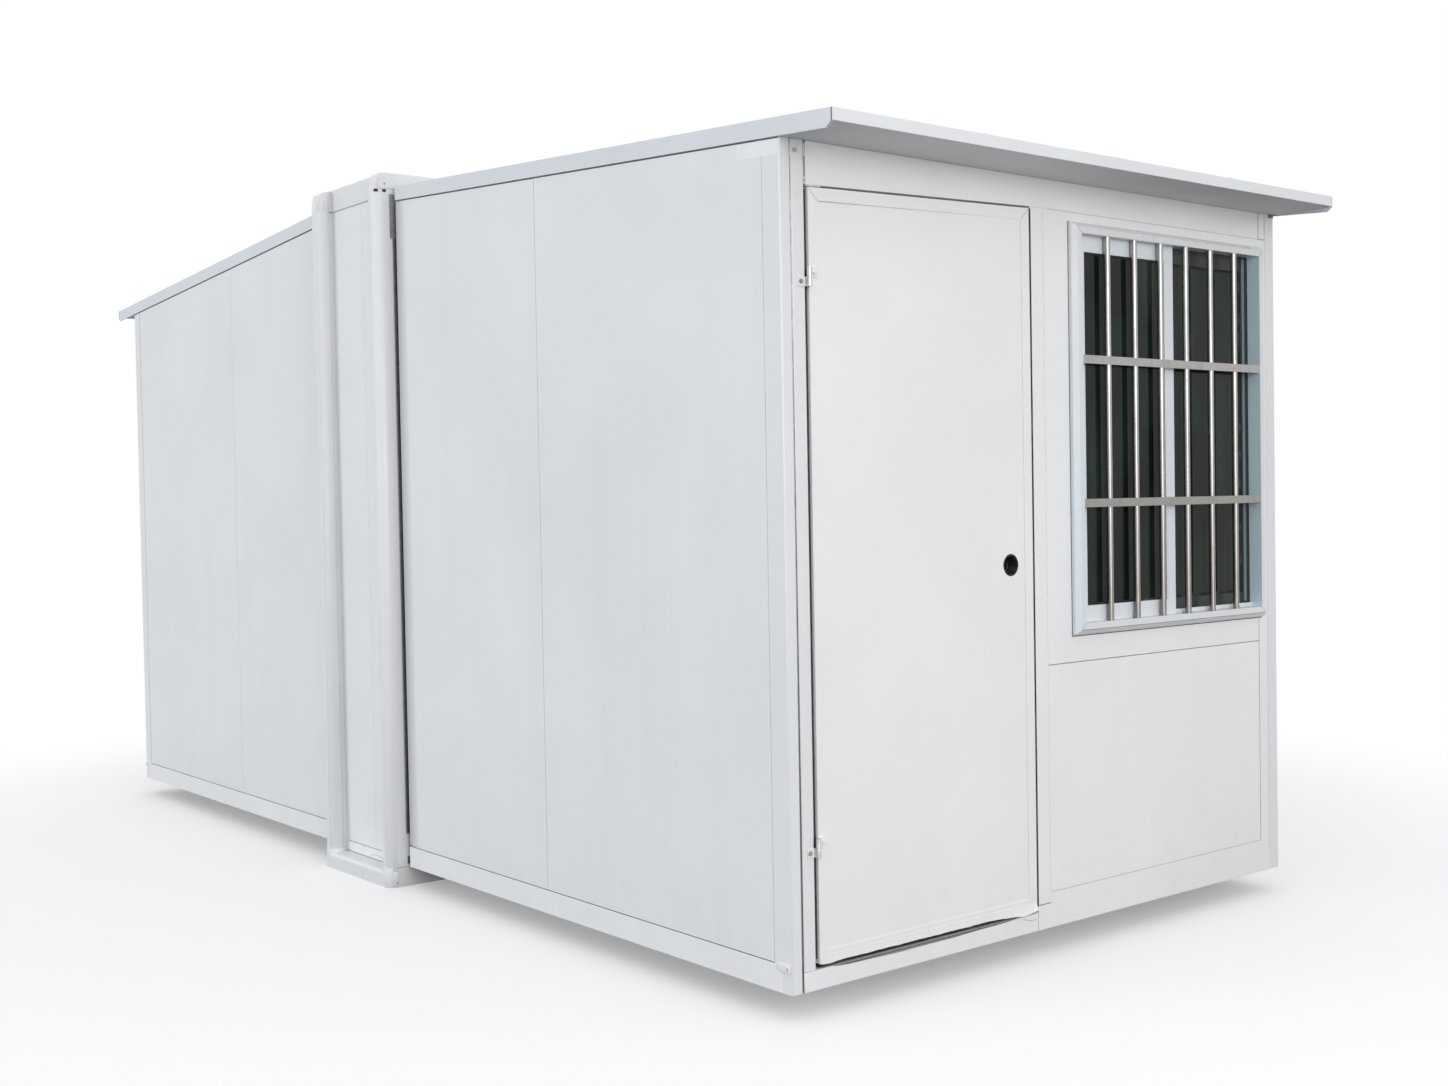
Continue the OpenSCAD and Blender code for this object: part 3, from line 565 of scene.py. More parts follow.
def casing_lines():
    """Joint between casing and wall, cut lines on the casing's face and the dots along its head."""
    x0, x1, z0, z1 = CASING_LOW.x, CASING_HIGH.x, CASING_LOW.z, CASING_HIGH.z
    face = CASING_LOW.y
    edge, below, cut, width = 1.2 * MM, 4.4 * MM, 14 * MM, 34 * MM
    corners = [(x0 - edge, z0 - below), (x1 + edge, z0 - below),
               (x1 + edge, z1 + edge), (x0 - edge, z1 + edge)]
    outline = bmesh.new()
    for i, line in enumerate((3.2, 1.6, 1.6, 3.4)):
        front_line(outline, corners[i], corners[(i + 1) % 4], line, 0.4)
    seal_piece("casing_outline", outline, dark_joint)
    mitres = bmesh.new()
    for x, sx in ((x0, 1), (x1, -1)):
        for z, sz in ((z0, 1), (z1, -1)):
            outer, inner = [(x + sx * inset, z + sz * inset) for inset in (cut, width)]
            front_line(mitres, outer, inner, 1.3, 0.12, face)
    front_line(mitres, (x0 + cut, z0 + cut), (x1 - cut, z0 + cut), 1.8, 0.15, face)
    seal_piece("casing_mitres", mitres, mid_joint)
    dots = bmesh.new()
    dot = [(0, 0.15 * MM), (1.4 * MM, 0.12 * MM), (1.6 * MM, 0)]
    for x, low in ((144, 19), (356, 21), (409, 22), (636, 20), (690, 16), (773, 19)):
        add_lathe(dots, (x * MM, face, z1 - low * MM), OUT, dot, sides=12)
    seal_piece("casing_dots", dots, mid_joint)


def sill_track():
    """Raised track before the inner sash, cover of the meeting stiles and painted sky shade on the far
    stile.
    """
    low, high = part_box("window_sash_right")
    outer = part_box("window_sash_left")[1]
    track_h, cover_inset = 14 * MM, 51 * MM
    strip_x = high.x - 26 * MM
    track = bmesh.new()
    add_block(track, (outer.x + 1 * MM, FRONT + 9 * MM, low.z + 0.3 * MM),
              (high.x - 0.5 * MM, FRONT + 19.5 * MM, low.z + track_h), bevel=1.2 * MM)
    add_block(track, (outer.x - 49 * MM, FRONT - 2 * MM, low.z + cover_inset),
              (outer.x - 38 * MM, FRONT + 0.3 * MM, high.z - cover_inset), bevel=0.8 * MM)
    finish_piece("sill_track", track, sash_paint, "cabin")
    # the far stile's strip is painted bluish shade
    strip = bmesh.new()
    front_line(strip, (strip_x, low.z + 20 * MM), (strip_x, high.z - 6 * MM), 15, 0.5, low.y)
    finish_piece("sash_strip", strip, sash_painted_sky_shade, "cabin")


# Fittings of the door

def hinge_bolts():
    """One hexagon bolt in each hinge plate: the upper plates turn with the leaf."""
    plate, half_plate, flats = 3 * MM, 25 * MM, 9 * MM
    low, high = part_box("door_hinge_knuckles")
    leaf = bmesh.new()
    for z in (low.z + half_plate / 2, high.z - half_plate / 2):
        add_hex_bolt(leaf, (high.x - 12 * MM, TRIM_FACE - plate, z), OUT, flats)
    finish_piece("hinge_bolts_leaf", leaf, door_paint, "door")
    low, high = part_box("door_hinge_pins")
    jamb = bmesh.new()
    for z in (low.z + half_plate / 2, high.z - 1.5 * half_plate):
        add_hex_bolt(jamb, (low.x + 10 * MM, FRONT - plate, z), OUT, flats)
    finish_piece("hinge_bolts_jamb", jamb, screw_metal, "cabin")


def lock_lining():
    """Black rim round the open lock bore and the dark foam inside it."""
    backset, height, bore = 95 * MM, 1017 * MM, 28 * MM
    centre = (LEAF_HIGH.x - backset, FRONT, LEAF_LOW.z + height)
    end = (LEAF_HIGH.y - LEAF_LOW.y) / MM - 4
    rim = [(-1.6, -0.5), (2.6, -0.8), (4.2, 0), (-0.4, 0), (-0.4, 2), (-1.6, 2), (-1.6, -0.5)]
    foam = [(-0.3, 2.2), (-1.4, 2.2), (-2.2, 6), (-1.2, end), (-0.3, end), (-0.3, 2.2)]
    for name, profile in (("lock_bore_rim", rim), ("lock_bore_foam", foam)):
        bm = bmesh.new()
        add_lathe(bm, centre, (0, 1, 0), [(bore + r * MM, y * MM) for r, y in profile], sides=48)
        seal_piece(name, bm, black_rubber, "door")


def door_bottom_flap():
    """Bent lower edge of the leaf's skin, and the rubber sweep behind it.

    The edge is wavy, with a bulge at the hinge side and a peeled end at the lock side.
    """
    steps, inset, fold, skin = 96, 3 * MM, 20 * MM, 0.8 * MM
    x0, x1 = LEAF_LOW.x + inset, LEAF_HIGH.x - inset
    top = LEAF_LOW.z + fold
    face = FRONT - 1.7 * MM
    rows = [[], [], [], []]
    for i in range(steps + 1):
        u = i / steps
        ripple = 0.7 * sin(41 * u) + 0.6 * sin(97 * u + 1.0) + 0.4 * sin(173 * u)
        bulge = 3.2 * max(0.0, 1 - abs(u - 0.035) / 0.035)
        peel = max(0.0, (u - 0.78) / 0.15)
        lifted = max(0.0, (u - 0.93) / 0.07)
        drop = (0.2 + ripple * 0.5 + bulge + 9.5 * min(peel, 1.0) ** 1.2 - 9.5 * lifted ** 1.3) * MM
        curl = (0.4 + 0.4 * abs(ripple) + 5.0 * min(peel, 1.4)) * MM
        x = x0 + (x1 - x0) * u
        low = LEAF_LOW.z - drop
        for row, share, bend in zip(rows, (0.0, 0.45, 0.8, 1.0), (0.0, 0.25, 0.65, 1.0)):
            row.append((x, face - curl * bend, top + (low - top) * share))
    bm = bmesh.new()
    add_sheet(bm, rows, skin, OUT)
    finish_piece("door_bottom_flap", bm, door_paint, "door", smooth_angle=60)
    sweep = bmesh.new()
    add_block(sweep, (x0, FRONT + 4 * MM, LEAF_LOW.z - 10 * MM),
              (x1, FRONT + 34 * MM, LEAF_LOW.z + 0.1 * MM), bevel=1.5 * MM)
    seal_piece("door_sweep", sweep, black_rubber, "door")


def door_lines():
    """Cut lines of the edge trim at the leaf's upper corners and the line along its inner edge."""
    inset, left_drop, short = 34 * MM, 26 * MM, 0.5 * MM
    foot = LEAF_LOW.z + 36 * MM
    mitres, inner = bmesh.new(), bmesh.new()
    ends = []
    for x, side, top in ((LEAF_LOW.x, 1, LEAF_HIGH.z - left_drop), (LEAF_HIGH.x, -1, LEAF_HIGH.z)):
        end = (x + side * inset, top - inset)
        front_line(mitres, (x + side * MM, top - MM), (end[0] - side * short, end[1] + short),
                   1.8, 0.15, TRIM_FACE)
        front_line(inner, (end[0], foot), end, 1.5, 0.2)
        ends.append(end)
    finish_piece("door_trim_mitres", mitres, grey_joint, "door")
    front_line(inner, *ends, 2.2, 0.2)
    finish_piece("door_trim_lines", inner, grey_joint, "door")


def door_gap_seals():
    """Rubber in the lock side's gap, a dark seal on the hinge edge and a pale filler under the head."""
    foot, depth = RAIL_TOP + 3 * MM, 36 * MM
    line_x = STILE_LOW.x + 1.4 * MM
    lock = bmesh.new()
    add_block(lock, (STILE_LOW.x - 3.2 * MM, FRONT + 0.3 * MM, foot),
              (STILE_LOW.x + 0.1 * MM, FRONT + depth, LEAF_HIGH.z), bevel=0.5 * MM)
    front_line(lock, (line_x, foot), (line_x, LEAF_HIGH.z), 3.6, 0.3)
    seal_piece("lock_gap_seal", lock, black_rubber)
    edge = bmesh.new()
    add_block(edge, (LEAF_LOW.x - 0.8 * MM, FRONT + 7.5 * MM, LEAF_LOW.z + 12 * MM),
              (LEAF_LOW.x + 0.1 * MM, FRONT + depth, LEAF_HIGH.z - 30 * MM), bevel=0.3 * MM)
    seal_piece("hinge_gap_seal", edge, dark_joint, "door")
    filler = bmesh.new()
    start = Vector((HEAD_LOW.x + 1 * MM, FRONT + 5 * MM, HEAD_LOW.z))
    add_strip(filler, start, start + Vector((52 * MM, 0, 1.5 * MM)), (0, 0, -1), 8 * MM, 3.4 * MM)
    seal_piece("head_filler", filler, pale_joint)


def threshold_lines():
    """Joints at the threshold's end and the jamb's foot, a crack in the paint, and painted shade below the
    leaf.
    """
    end = SILL_HIGH.x - 0.5 * MM
    joints = bmesh.new()
    front_line(joints, (end, SILL_LOW.z + 1 * MM), (end, SILL_HIGH.z), 2.2, 0.3)
    front_line(joints, (JAMB_LOW.x, SILL_HIGH.z), (JAMB_HIGH.x, SILL_HIGH.z), 1.4, 0.25)
    seal_piece("threshold_joints", joints, grey_joint)
    crack = bmesh.new()
    points = [(x * MM, z * MM) for x, z in ((-206, 122), (-201, 117), (-193, 113), (-184, 110.5),
                                            (-174, 109.5), (-160, 108.5), (-146, 107.5))]
    for start, stop in zip(points, points[1:]):
        front_line(crack, start, stop, 1.8, 0.25)
    seal_piece("threshold_crack", crack, grey_joint)
    # dark wedge on the threshold's face below the leaf: painted shade of the gap under the door
    steps, thin = 40, 0.2 * MM
    face, top = FRONT - 0.1 * MM, SILL_HIGH.z - 0.3 * MM
    x0, x1 = LEAF_LOW.x + 45 * MM, LEAF_HIGH.x - 75 * MM
    rows = [[], []]
    for i in range(steps + 1):
        u = i / steps
        depth = (0.2 + 8.5 * sin(pi * u ** 0.75) ** 0.8 + 0.5 * sin(23 * u)) * MM
        x = x0 + (x1 - x0) * u
        rows[0].append((x, face, top))
        rows[1].append((x, face, top - max(depth, thin)))
    painted_dark = bmesh.new()
    add_sheet(painted_dark, rows, thin, OUT)
    seal_piece("threshold_painted_shade", painted_dark, sill_painted_shade)


# Joints of the walls

def soffit(s):
    """Height of the wing roof's underside at a distance in from the outer wall."""
    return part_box("front_head_rail")[1].z + ROOF_SLOPE * (s - PANEL_T)


def end_wall_joints():
    """Dark joints at the foot and under the roof of each end wall, and faint upright ones at the corners."""
    inner, line_y = WALL_HIGH.y, FRONT + POST_DEPTH
    low, high = RAIL_TOP + 4 * MM, soffit(POST_DEPTH) - 7 * MM
    gap = 2.0 * MM
    dark = bmesh.new()
    end_line(dark, LEFT, (line_y, FOOT_JOINT), (inner, FOOT_JOINT), 3.0, 0.6)
    end_line(dark, LEFT, (FRONT + 2 * MM, soffit(0) - gap), (inner, soffit(inner - FRONT) - gap), 3.8, 0.9)
    add_mirrored(dark, True, True)
    seal_piece("end_wall_joints", dark, dark_joint)
    faint = bmesh.new()
    end_line(faint, LEFT, (line_y, low), (line_y, high), 1.8, 0.3)
    add_mirrored(faint, True, True)
    for side in (-1, 1):
        add_strip(faint, (side * LEFT, -line_y, low), (side * LEFT, -line_y, high), (-side, 0, 0),
                  4.5 * MM, 0.4 * MM)
    seal_piece("corner_joints", faint, grey_joint)


def front_wall_joints():
    """Joints of the window wall and of the head rail, and the joint beside the hinge jamb."""
    low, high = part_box("front_lower_panel")
    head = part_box("front_window_panel")[1].z
    stile_x, filler_x = STILE_HIGH.x, HEAD_HIGH.x + 0.5 * MM
    top = soffit(0) - 2 * MM
    dark = bmesh.new()
    front_line(dark, (high.x, low.z), (high.x, CASING_LOW.z - 6 * MM), 2.8, 0.4)
    front_line(dark, (stile_x, head + 18 * MM), (stile_x, head + 62 * MM), 3.0, 0.5)
    front_line(dark, (filler_x, head), (filler_x, top), 3.2, 0.4)
    front_line(dark, (filler_x - 6 * MM, head), (stile_x, head), 3.0, 0.5)
    front_line(dark, (STILE_LOW.x, FOOT_JOINT), (low.x, FOOT_JOINT), 3.4, 0.5)
    seal_piece("front_wall_joints", dark, mid_joint)
    soft = bmesh.new()
    front_line(soft, (low.x + 4 * MM, low.z), (high.x, low.z), 2.0, 0.3)
    front_line(soft, (low.x + 20 * MM, head), (filler_x, head), 1.4, 0.3)
    front_line(soft, (stile_x, RAIL_TOP + 3 * MM), (stile_x, top), 1.2, 0.3)
    seal_piece("front_wall_lines", soft, grey_joint)
    joint, half = JAMB_LOW.x - 1.5 * MM, 1.6 * MM
    faint = bmesh.new()
    front_line(faint, (low.x, low.z), (low.x, head), 1.6, 0.2)
    add_block(faint, (joint - half, FRONT + 0.3 * MM, RAIL_TOP), (joint + half, FRONT + 6 * MM, top))
    seal_piece("jamb_joints", faint, pale_joint)
    widths = ((1750, 0.2), (1300, 1.1), (800, 1.9), (SILL_HIGH.z / MM, 2.5), (75, 2.3))
    rows = [[(joint + side * wide * MM, FRONT + 0.2 * MM, z * MM) for z, wide in widths] for side in (-1, 1)]
    opening = bmesh.new()
    add_sheet(opening, rows, 0.4 * MM, OUT)
    seal_piece("jamb_joint_gap", opening, dark_joint)


def corner_clips():
    """Flat clip over the foot of each corner post, held by one screw."""
    proud, low, high, screw_z = 5 * MM, 131 * MM, 150 * MM, 141 * MM
    clips = bmesh.new()
    add_block(clips, (LEFT - proud, FRONT + 6 * MM, low), (LEFT + 0.5 * MM, FRONT + 58 * MM, high),
              bevel=1.4 * MM)
    add_mirrored(clips, True, True)
    finish_piece("corner_clips", clips, frame_paint, "cabin")
    screws = bmesh.new()
    add_screw(screws, (LEFT - proud, FRONT + 14 * MM, screw_z), SIDE_OUT, 3.5 * MM)
    add_mirrored(screws, True, True)
    finish_piece("corner_clip_screws", screws, screw_metal, "cabin")


# Fittings of the core

def core_fixings():
    """Screws and slots of the core's posts, and the returns of its skirt strip."""
    screw_r, foot_x, foot_z = 4 * MM, -1139 * MM, 17 * MM
    top_x, top_z = -1130 * MM, 2490 * MM
    screws = bmesh.new()
    add_screw(screws, (foot_x, CORE_LOW.y, foot_z), OUT, screw_r)
    add_mirrored(screws, False, True)
    for y, axis in ((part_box("core_top_frame")[0].y, OUT), (-CORE_FACE, (0, 1, 0))):
        add_screw(screws, (top_x, y, top_z), axis, screw_r)
    add_mirrored(screws, True, False)
    finish_piece("core_screws", screws, screw_metal, "cabin")
    low, high, width = CORE_CAP + 1 * MM, CORE_CAP + 11 * MM, 15
    nose_x, nose_y = -1158 * MM, CORE_FACE + 8.7 * MM
    nose_out = Vector((-0.66, -0.75, 0)).normalized()
    slots = bmesh.new()
    front_line(slots, (top_x, low), (top_x, high), width, 0.4, CORE_FACE)
    add_strip(slots, (nose_x, nose_y, low), (nose_x, nose_y, high), nose_out, width * MM, 1.5 * MM)
    add_mirrored(slots, True, True)
    seal_piece("core_post_slots", slots, black_rubber)
    returns = bmesh.new()
    add_block(returns, (-1152 * MM, CORE_INNER, CORE_HIGH.z),
              (SKIRT_FACE - 0.2 * MM, CORE_INNER + 1.5 * MM, SKIRT_TOP), bevel=0.4 * MM)
    add_mirrored(returns, True, True)
    finish_piece("core_skirt_returns", returns, frame_paint, "cabin")


def core_gaps():
    """Dark lips and grey beads in the gaps between the core's posts and the wings."""
    gap_x, gap_w, start, split = LEFT + 2 * MM, 12 * MM, 188 * MM, 2300 * MM
    bead_x, back, wall_end = gap_x - 2 * MM, CORE_FACE + 0.1 * MM, WALL_HIGH.y
    lips = bmesh.new()
    for low, high in ((80 * MM, 107 * MM), (start, split)):
        add_block(lips, (gap_x, CORE_FACE - 2 * MM, low), (gap_x + gap_w, back, high), bevel=0.5 * MM)
    add_block(lips, (LEFT - 0.6 * MM, wall_end - 12 * MM, RAIL_TOP),
              (LEFT + 0.3 * MM, wall_end, RAIL_TOP + 7 * MM), bevel=0.2 * MM)
    add_mirrored(lips, True, True)
    seal_piece("core_gap_lips", lips, dark_joint)
    beads = bmesh.new()
    front_line(beads, (bead_x, start), (bead_x, split), 5, 1.5, CORE_FACE)
    add_block(beads, (gap_x - 14 * MM, CORE_FACE - 1 * MM, split), (gap_x + gap_w, back, CORE_CAP - 4 * MM),
              bevel=0.4 * MM)
    add_mirrored(beads, True, True)
    seal_piece("core_gap_beads", beads, bead_grey)


def core_lines():
    """Joints under the cap, along the skirt strip and at the collars, and laps of the panel and base."""
    nose_x, collar = -1160 * MM, CORE_HIGH.z + 0.5 * MM
    skirt_line, base_line = SKIRT_TOP + 1.2 * MM, 57.5 * MM
    lines = bmesh.new()
    end_line(lines, LEFT, (CORE_INNER, CORE_CAP), (-CORE_INNER, CORE_CAP), 3.0, 0.5)
    for side in (1, -1):
        y = side * CORE_INNER
        add_strip(lines, (LEFT, y, CORE_CAP), (nose_x, y, CORE_CAP), (0, side, 0), 3.0 * MM, 0.5 * MM)
    end_line(lines, LEFT, (200 * MM, skirt_line), (-70 * MM, skirt_line), 2.4, 0.5)
    end_line(lines, SKIRT_FACE, (CORE_INNER, base_line), (-CORE_INNER, base_line), 2.4, 0.4)
    arch = [(y * MM, z * MM) for y, z in ((20, 58), (14, 65), (0, 70), (-20, 73), (-42, 74),
                                          (-66, 72), (-84, 68), (-97, 62), (-101, 57))]
    for start, stop in zip(arch, arch[1:]):
        end_line(lines, SKIRT_FACE, start, stop, 1.6, 0.3)
    add_mirrored(lines, True, False)
    for side in (1, -1):
        for end in (1, -1):
            outer, inner = [(end * x * MM, side * CORE_FACE, collar) for x in (1140, 1106)]
            add_strip(lines, outer, inner, (0, -side, 0), 2.0 * MM, 0.3 * MM)
    seal_piece("core_cap_joints", lines, mid_joint)
    lap_y, base_y, skirt_y = -28 * MM, -57 * MM, 74 * MM
    lap = bmesh.new()
    end_line(lap, LEFT, (lap_y, SKIRT_TOP), (lap_y, CORE_CAP - 3 * MM), 1.5, 0.2)
    add_mirrored(lap, True, False)
    seal_piece("core_panel_lap", lap, pale_joint)
    joints = bmesh.new()
    end_line(joints, CORE_LOW.x, (base_y, 2 * MM), (base_y, 42 * MM), 1.8, 0.25)
    end_line(joints, SKIRT_FACE, (skirt_y, 57 * MM), (skirt_y, SKIRT_TOP), 1.8, 0.25)
    add_mirrored(joints, True, False)
    seal_piece("core_joints", joints, grey_joint)


# Fittings of the roofs

def roof_seams():
    """Rounded cover strips over the joints of the roof sheets, with screws."""
    inset, width, rise = 4 * MM, 34 * MM, 3 * MM
    screw_r, screw_count, first, spacing = 5 * MM, 6, 0.03, 0.188
    roof_low, roof_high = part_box("front_roof")
    depth = roof_high.y - roof_low.y
    edge = soffit(roof_low.y - FRONT) + PANEL_T
    up = Vector((0, -ROOF_SLOPE, 1)).normalized()
    strips, screws = bmesh.new(), bmesh.new()
    for share in (0.25, 0.5, 0.75):
        x = roof_low.x + (roof_high.x - roof_low.x) * share
        start = Vector((x, roof_low.y + inset, edge + inset * ROOF_SLOPE))
        end = Vector((x, roof_high.y - inset, edge + (depth - inset) * ROOF_SLOPE))
        add_strip(strips, start, end, up, width, rise)
        for i in range(screw_count):
            add_screw(screws, start.lerp(end, first + spacing * i) + up * rise, up, screw_r)
    add_mirrored(strips, False, True)
    add_mirrored(screws, False, True)
    finish_piece("roof_seams", strips, roof_paint, "cabin")
    finish_piece("roof_screws", screws, screw_metal, "cabin")


def roof_edges():
    """Dark seams where the edge trims meet the lip, and dark marks under the roof's far end."""
    low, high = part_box("front_roof_trim")
    top = soffit(low.y - FRONT) + PANEL_T
    lip, fold, cut = top - 33 * MM, low.y + 2.6 * MM, low.y + 20 * MM
    seams = bmesh.new()
    for x, side in ((low.x, -1), (high.x, 1)):
        away = (side, 0, 0)
        add_strip(seams, (x, fold, lip), (x, fold, top - 1 * MM), away, 4.6 * MM, 0.3 * MM)
        add_strip(seams, (x, low.y + 1 * MM, lip), (x, cut, soffit(cut - FRONT) + 1 * MM), away,
                  2.2 * MM, 0.3 * MM)
    add_mirrored(seams, False, True)
    seal_piece("roof_edge_seams", seams, dark_joint)
    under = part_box("front_roof")[0].z
    post_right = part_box("front_corner_posts")[1].x
    marks = bmesh.new()
    add_block(marks, (post_right - 32 * MM, FRONT - 0.6 * MM, under - 10 * MM),
              (post_right - 0.5 * MM, FRONT + 0.3 * MM, under - 0.5 * MM), bevel=0.2 * MM)
    add_block(marks, (post_right - 30 * MM, FRONT - 10 * MM, under - 0.6 * MM),
              (high.x - 5 * MM, FRONT - 0.7 * MM, under + 1 * MM), bevel=0.2 * MM)
    seal_piece("post_top_mark", marks, mid_joint)


# Marks of use at the front left corner

def head_film():
    """Left-over strip of protective film under the roof at the corner."""
    steps, start, length, below, deep = 14, 2 * MM, 165 * MM, 6.5 * MM, 46 * MM
    rows = [[], []]
    for i in range(steps + 1):
        s = start + length * i / steps
        ragged = (1.2 * sin(37 * i) + (6.0 if i == steps else 0.0)) * MM
        rows[0].append((LEFT, FRONT + s, soffit(s) - below))
        rows[1].append((LEFT, FRONT + s + ragged, soffit(s) - deep + ragged * 0.4))
    bm = bmesh.new()
    add_sheet(bm, rows, 0.35 * MM, SIDE_OUT)
    finish_piece("head_film", bm, film, "cabin", smooth_angle=60)


def jamb_bracket():
    """Small folded tab under the soffit on the hinge jamb, painted shade at its foot, and scraps of foam in
    the slot beside it.
    """
    x0 = JAMB_LOW.x + 3 * MM
    x1 = x0 + 18 * MM
    top = soffit(0) - 1 * MM
    fold, foot, back = top - 22 * MM, top - 33 * MM, FRONT + 0.5 * MM
    tab = bmesh.new()
    add_block(tab, (x0, FRONT - 1.2 * MM, fold), (x1, back, top), bevel=0.5 * MM)
    finish_piece("jamb_tab", tab, frame_paint, "cabin")
    # the darker block at the tab's foot is painted shade
    end = bmesh.new()
    add_block(end, (x0 + 3 * MM, FRONT - 1.6 * MM, foot), (x1, back, fold), bevel=0.6 * MM)
    finish_piece("jamb_bracket", end, bracket_painted_shade, "cabin")
    left, right = JAMB_HIGH.x + 0.3 * MM, HEAD_LOW.x - 0.3 * MM
    scraps = bmesh.new()
    for z0, z1, gap in ((2243, 2279, 0.4), (2173, 2181, 0.4), (2184, 2193, 0.7)):
        add_block(scraps, (left + gap * MM, FRONT + 1.0 * MM, z0 * MM), (right, FRONT + 16 * MM, z1 * MM),
                  bevel=0.8 * MM)
    seal_piece("slot_foam", scraps, foam_white)


for make_pieces in (glazing_gaskets, casing_lines, sill_track, hinge_bolts, lock_lining, door_bottom_flap,
                    door_lines, door_gap_seals, threshold_lines, end_wall_joints, front_wall_joints,
                    corner_clips, core_fixings, core_gaps, core_lines, roof_seams, roof_edges, head_film,
                    jamb_bracket):
    make_pieces()


# Camera, from the photograph's view

PHOTO_W = 1448
CAMERA_PLACE = Vector((-3.88669, -5.57943, 1.36718))
YAW, PITCH, ROLL = radians(38.719), radians(-1.583), radians(-1.013)
FOCAL_PIXELS = 1659.96
SENSOR = 36.0


def make_camera():
    """Camera fitted to the photograph's straight edges."""
    data = bpy.data.cameras.new("camera")
    data.sensor_fit = "HORIZONTAL"
    data.sensor_width = SENSOR
    data.lens = SENSOR * FOCAL_PIXELS / PHOTO_W
    data.clip_end = 200
    camera = bpy.data.objects.new("camera", data)
    bpy.context.scene.collection.objects.link(camera)
    ahead = Vector((sin(YAW) * cos(PITCH), cos(YAW) * cos(PITCH), sin(PITCH)))
    camera.rotation_mode = "QUATERNION"
    camera.rotation_quaternion = ahead.to_track_quat("-Z", "Y") @ Quaternion((0, 0, 1), ROLL)
    camera.location = CAMERA_PLACE
    bpy.context.scene.camera = camera


make_camera()


# Light, floor and white surround

def add_lamp(name, place, aim, size, power, colour=(1, 1, 1), glossy=True):
    """Round area lamp that looks at a point."""
    data = bpy.data.lights.new(name, "AREA")
    data.shape = "DISK"
    data.size = size
    data.energy = power
    data.color = colour
    lamp = bpy.data.objects.new(name, data)
    lamp.location = place
    lamp.rotation_mode = "QUATERNION"
    lamp.rotation_quaternion = (Vector(aim) - Vector(place)).to_track_quat("-Z", "Y")
    lamp.visible_glossy = glossy
    bpy.context.scene.collection.objects.link(lamp)


def background_ray(tree):
    """1 for rays that should see the white surround: from the camera, by gloss or through glass."""
    path = tree.nodes.new("ShaderNodeLightPath")
    first = tree.nodes.new("ShaderNodeMath")
    first.operation = "MAXIMUM"
    second = tree.nodes.new("ShaderNodeMath")
    second.operation = "MAXIMUM"
    tree.links.new(path.outputs["Is Camera Ray"], first.inputs[0])
    tree.links.new(path.outputs["Is Glossy Ray"], first.inputs[1])
    tree.links.new(first.outputs[0], second.inputs[0])
    tree.links.new(path.outputs["Is Transmission Ray"], second.inputs[1])
    return second.outputs[0]


SKY = (0.955, 0.978, 1.0)
SKY_STRENGTH = 0.86


def make_world():
    """Cool sky for the light, plain white where the camera sees it."""
    world = bpy.data.worlds.new("studio")
    bpy.context.scene.world = world
    world.use_nodes = True
    tree = world.node_tree
    sky = tree.nodes["Background"]
    sky.inputs["Color"].default_value = (*SKY, 1)
    sky.inputs["Strength"].default_value = SKY_STRENGTH
    white = tree.nodes.new("ShaderNodeBackground")
    white.inputs["Color"].default_value = (1, 1, 1, 1)
    white.inputs["Strength"].default_value = 1.0
    mix = tree.nodes.new("ShaderNodeMixShader")
    tree.links.new(background_ray(tree), mix.inputs[0])
    tree.links.new(sky.outputs[0], mix.inputs[1])
    tree.links.new(white.outputs[0], mix.inputs[2])
    tree.links.new(mix.outputs[0], tree.nodes["World Output"].inputs["Surface"])


FLOOR_HALF = 60.0
FLOOR_SEEN = (0.97, 0.97, 0.97)
FLOOR_BOUNCE = (0.17, 0.17, 0.17)
FLOOR_GLOW = 0.28
FADE_START, FADE_END = 2.3, 4.6


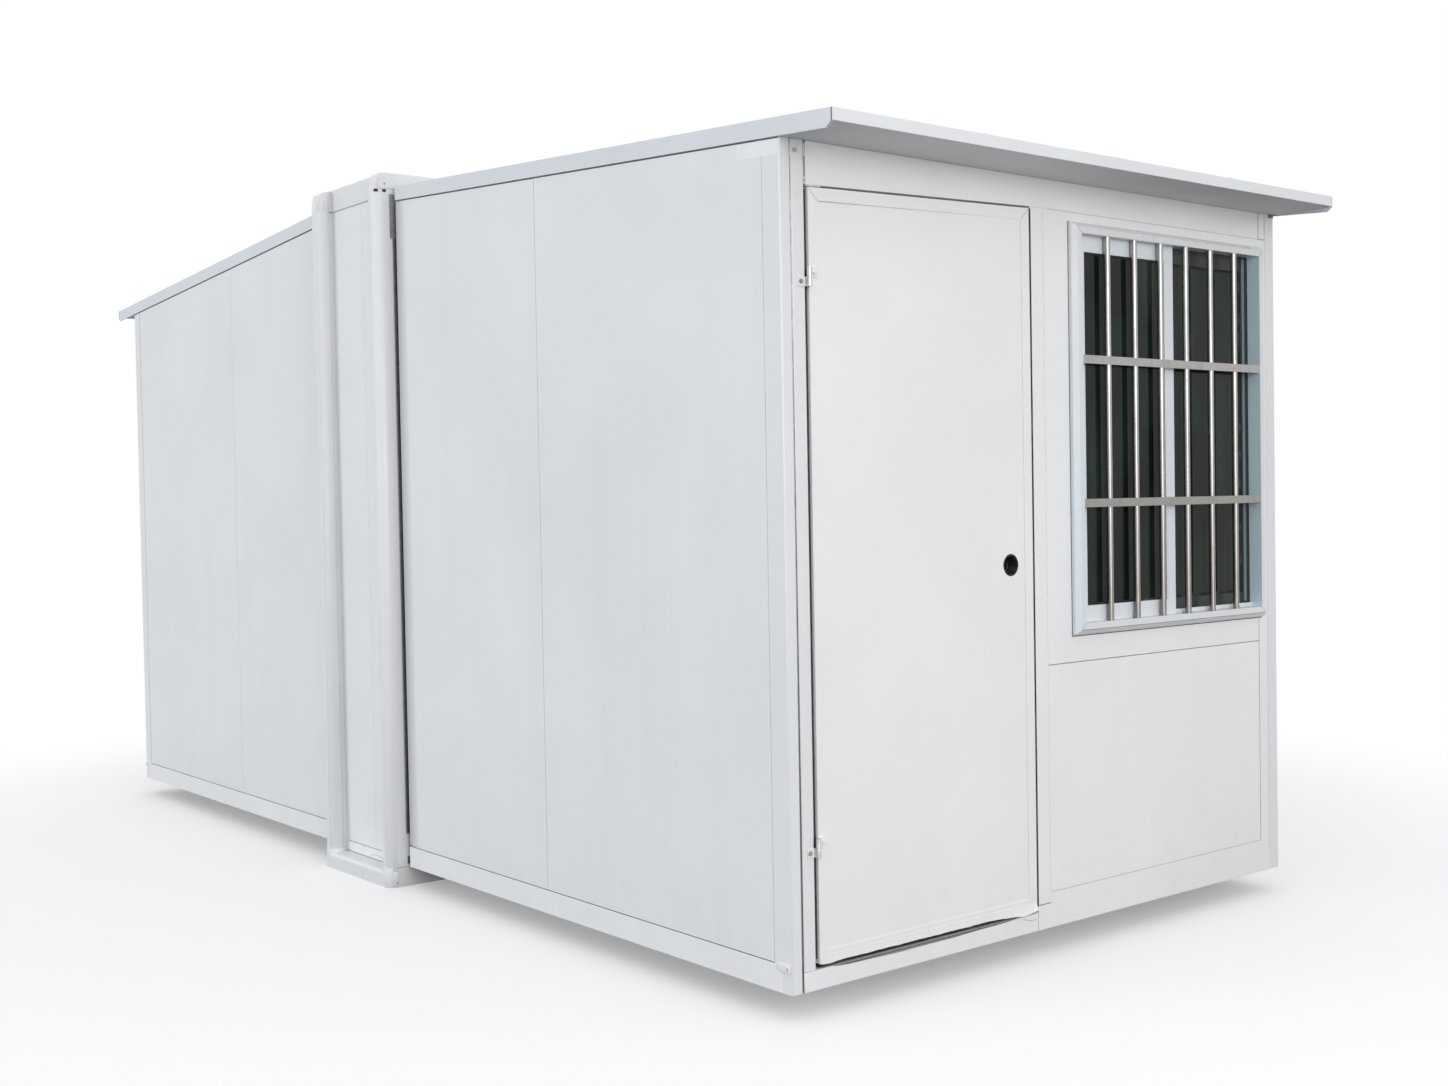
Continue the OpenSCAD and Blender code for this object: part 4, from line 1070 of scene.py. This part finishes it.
def make_floor():
    """Pale floor that keeps the shadow near the cabin and fades to the white surround farther out."""
    bm = bmesh.new()
    bmesh.ops.create_grid(bm, x_segments=1, y_segments=1, size=FLOOR_HALF)
    mesh = bpy.data.meshes.new("floor")
    bm.to_mesh(mesh)
    bm.free()
    floor = bpy.data.objects.new("floor", mesh)
    bpy.context.scene.collection.objects.link(floor)
    material = bpy.data.materials.new("floor")
    material.use_nodes = True
    tree = material.node_tree
    tree.nodes.remove(tree.nodes["Principled BSDF"])
    seen = tree.nodes.new("ShaderNodeBsdfDiffuse")
    seen.inputs["Color"].default_value = (*FLOOR_SEEN, 1)
    bounce = tree.nodes.new("ShaderNodeBsdfDiffuse")
    bounce.inputs["Color"].default_value = (*FLOOR_BOUNCE, 1)
    white = tree.nodes.new("ShaderNodeEmission")
    coords = tree.nodes.new("ShaderNodeTexCoord")
    length = tree.nodes.new("ShaderNodeVectorMath")
    length.operation = "LENGTH"
    fade = tree.nodes.new("ShaderNodeMapRange")
    fade.interpolation_type = "SMOOTHSTEP"
    fade.inputs["From Min"].default_value = FADE_START
    fade.inputs["From Max"].default_value = FADE_END
    fade.inputs["To Min"].default_value = FLOOR_GLOW
    near = tree.nodes.new("ShaderNodeMixShader")
    whole = tree.nodes.new("ShaderNodeMixShader")
    tree.links.new(coords.outputs["Object"], length.inputs[0])
    tree.links.new(length.outputs["Value"], fade.inputs["Value"])
    tree.links.new(fade.outputs["Result"], near.inputs[0])
    tree.links.new(seen.outputs[0], near.inputs[1])
    tree.links.new(white.outputs[0], near.inputs[2])
    tree.links.new(background_ray(tree), whole.inputs[0])
    tree.links.new(bounce.outputs[0], whole.inputs[1])
    tree.links.new(near.outputs[0], whole.inputs[2])
    tree.links.new(whole.outputs[0], tree.nodes["Material Output"].inputs["Surface"])
    mesh.materials.append(material)


make_world()
make_floor()
add_lamp("front_lamp", (-3.0, -9.5, 2.5), aim=(0.0, -2.4, 1.2), size=5.0, power=260)
add_lamp("left_lamp", (-18.6, 5.0, 2.4), aim=(-1.1, -0.6, 1.2), size=10.0, power=1260,
         colour=(0.94, 0.97, 1.0), glossy=False)

scene = bpy.context.scene
scene.view_settings.view_transform = "Standard"
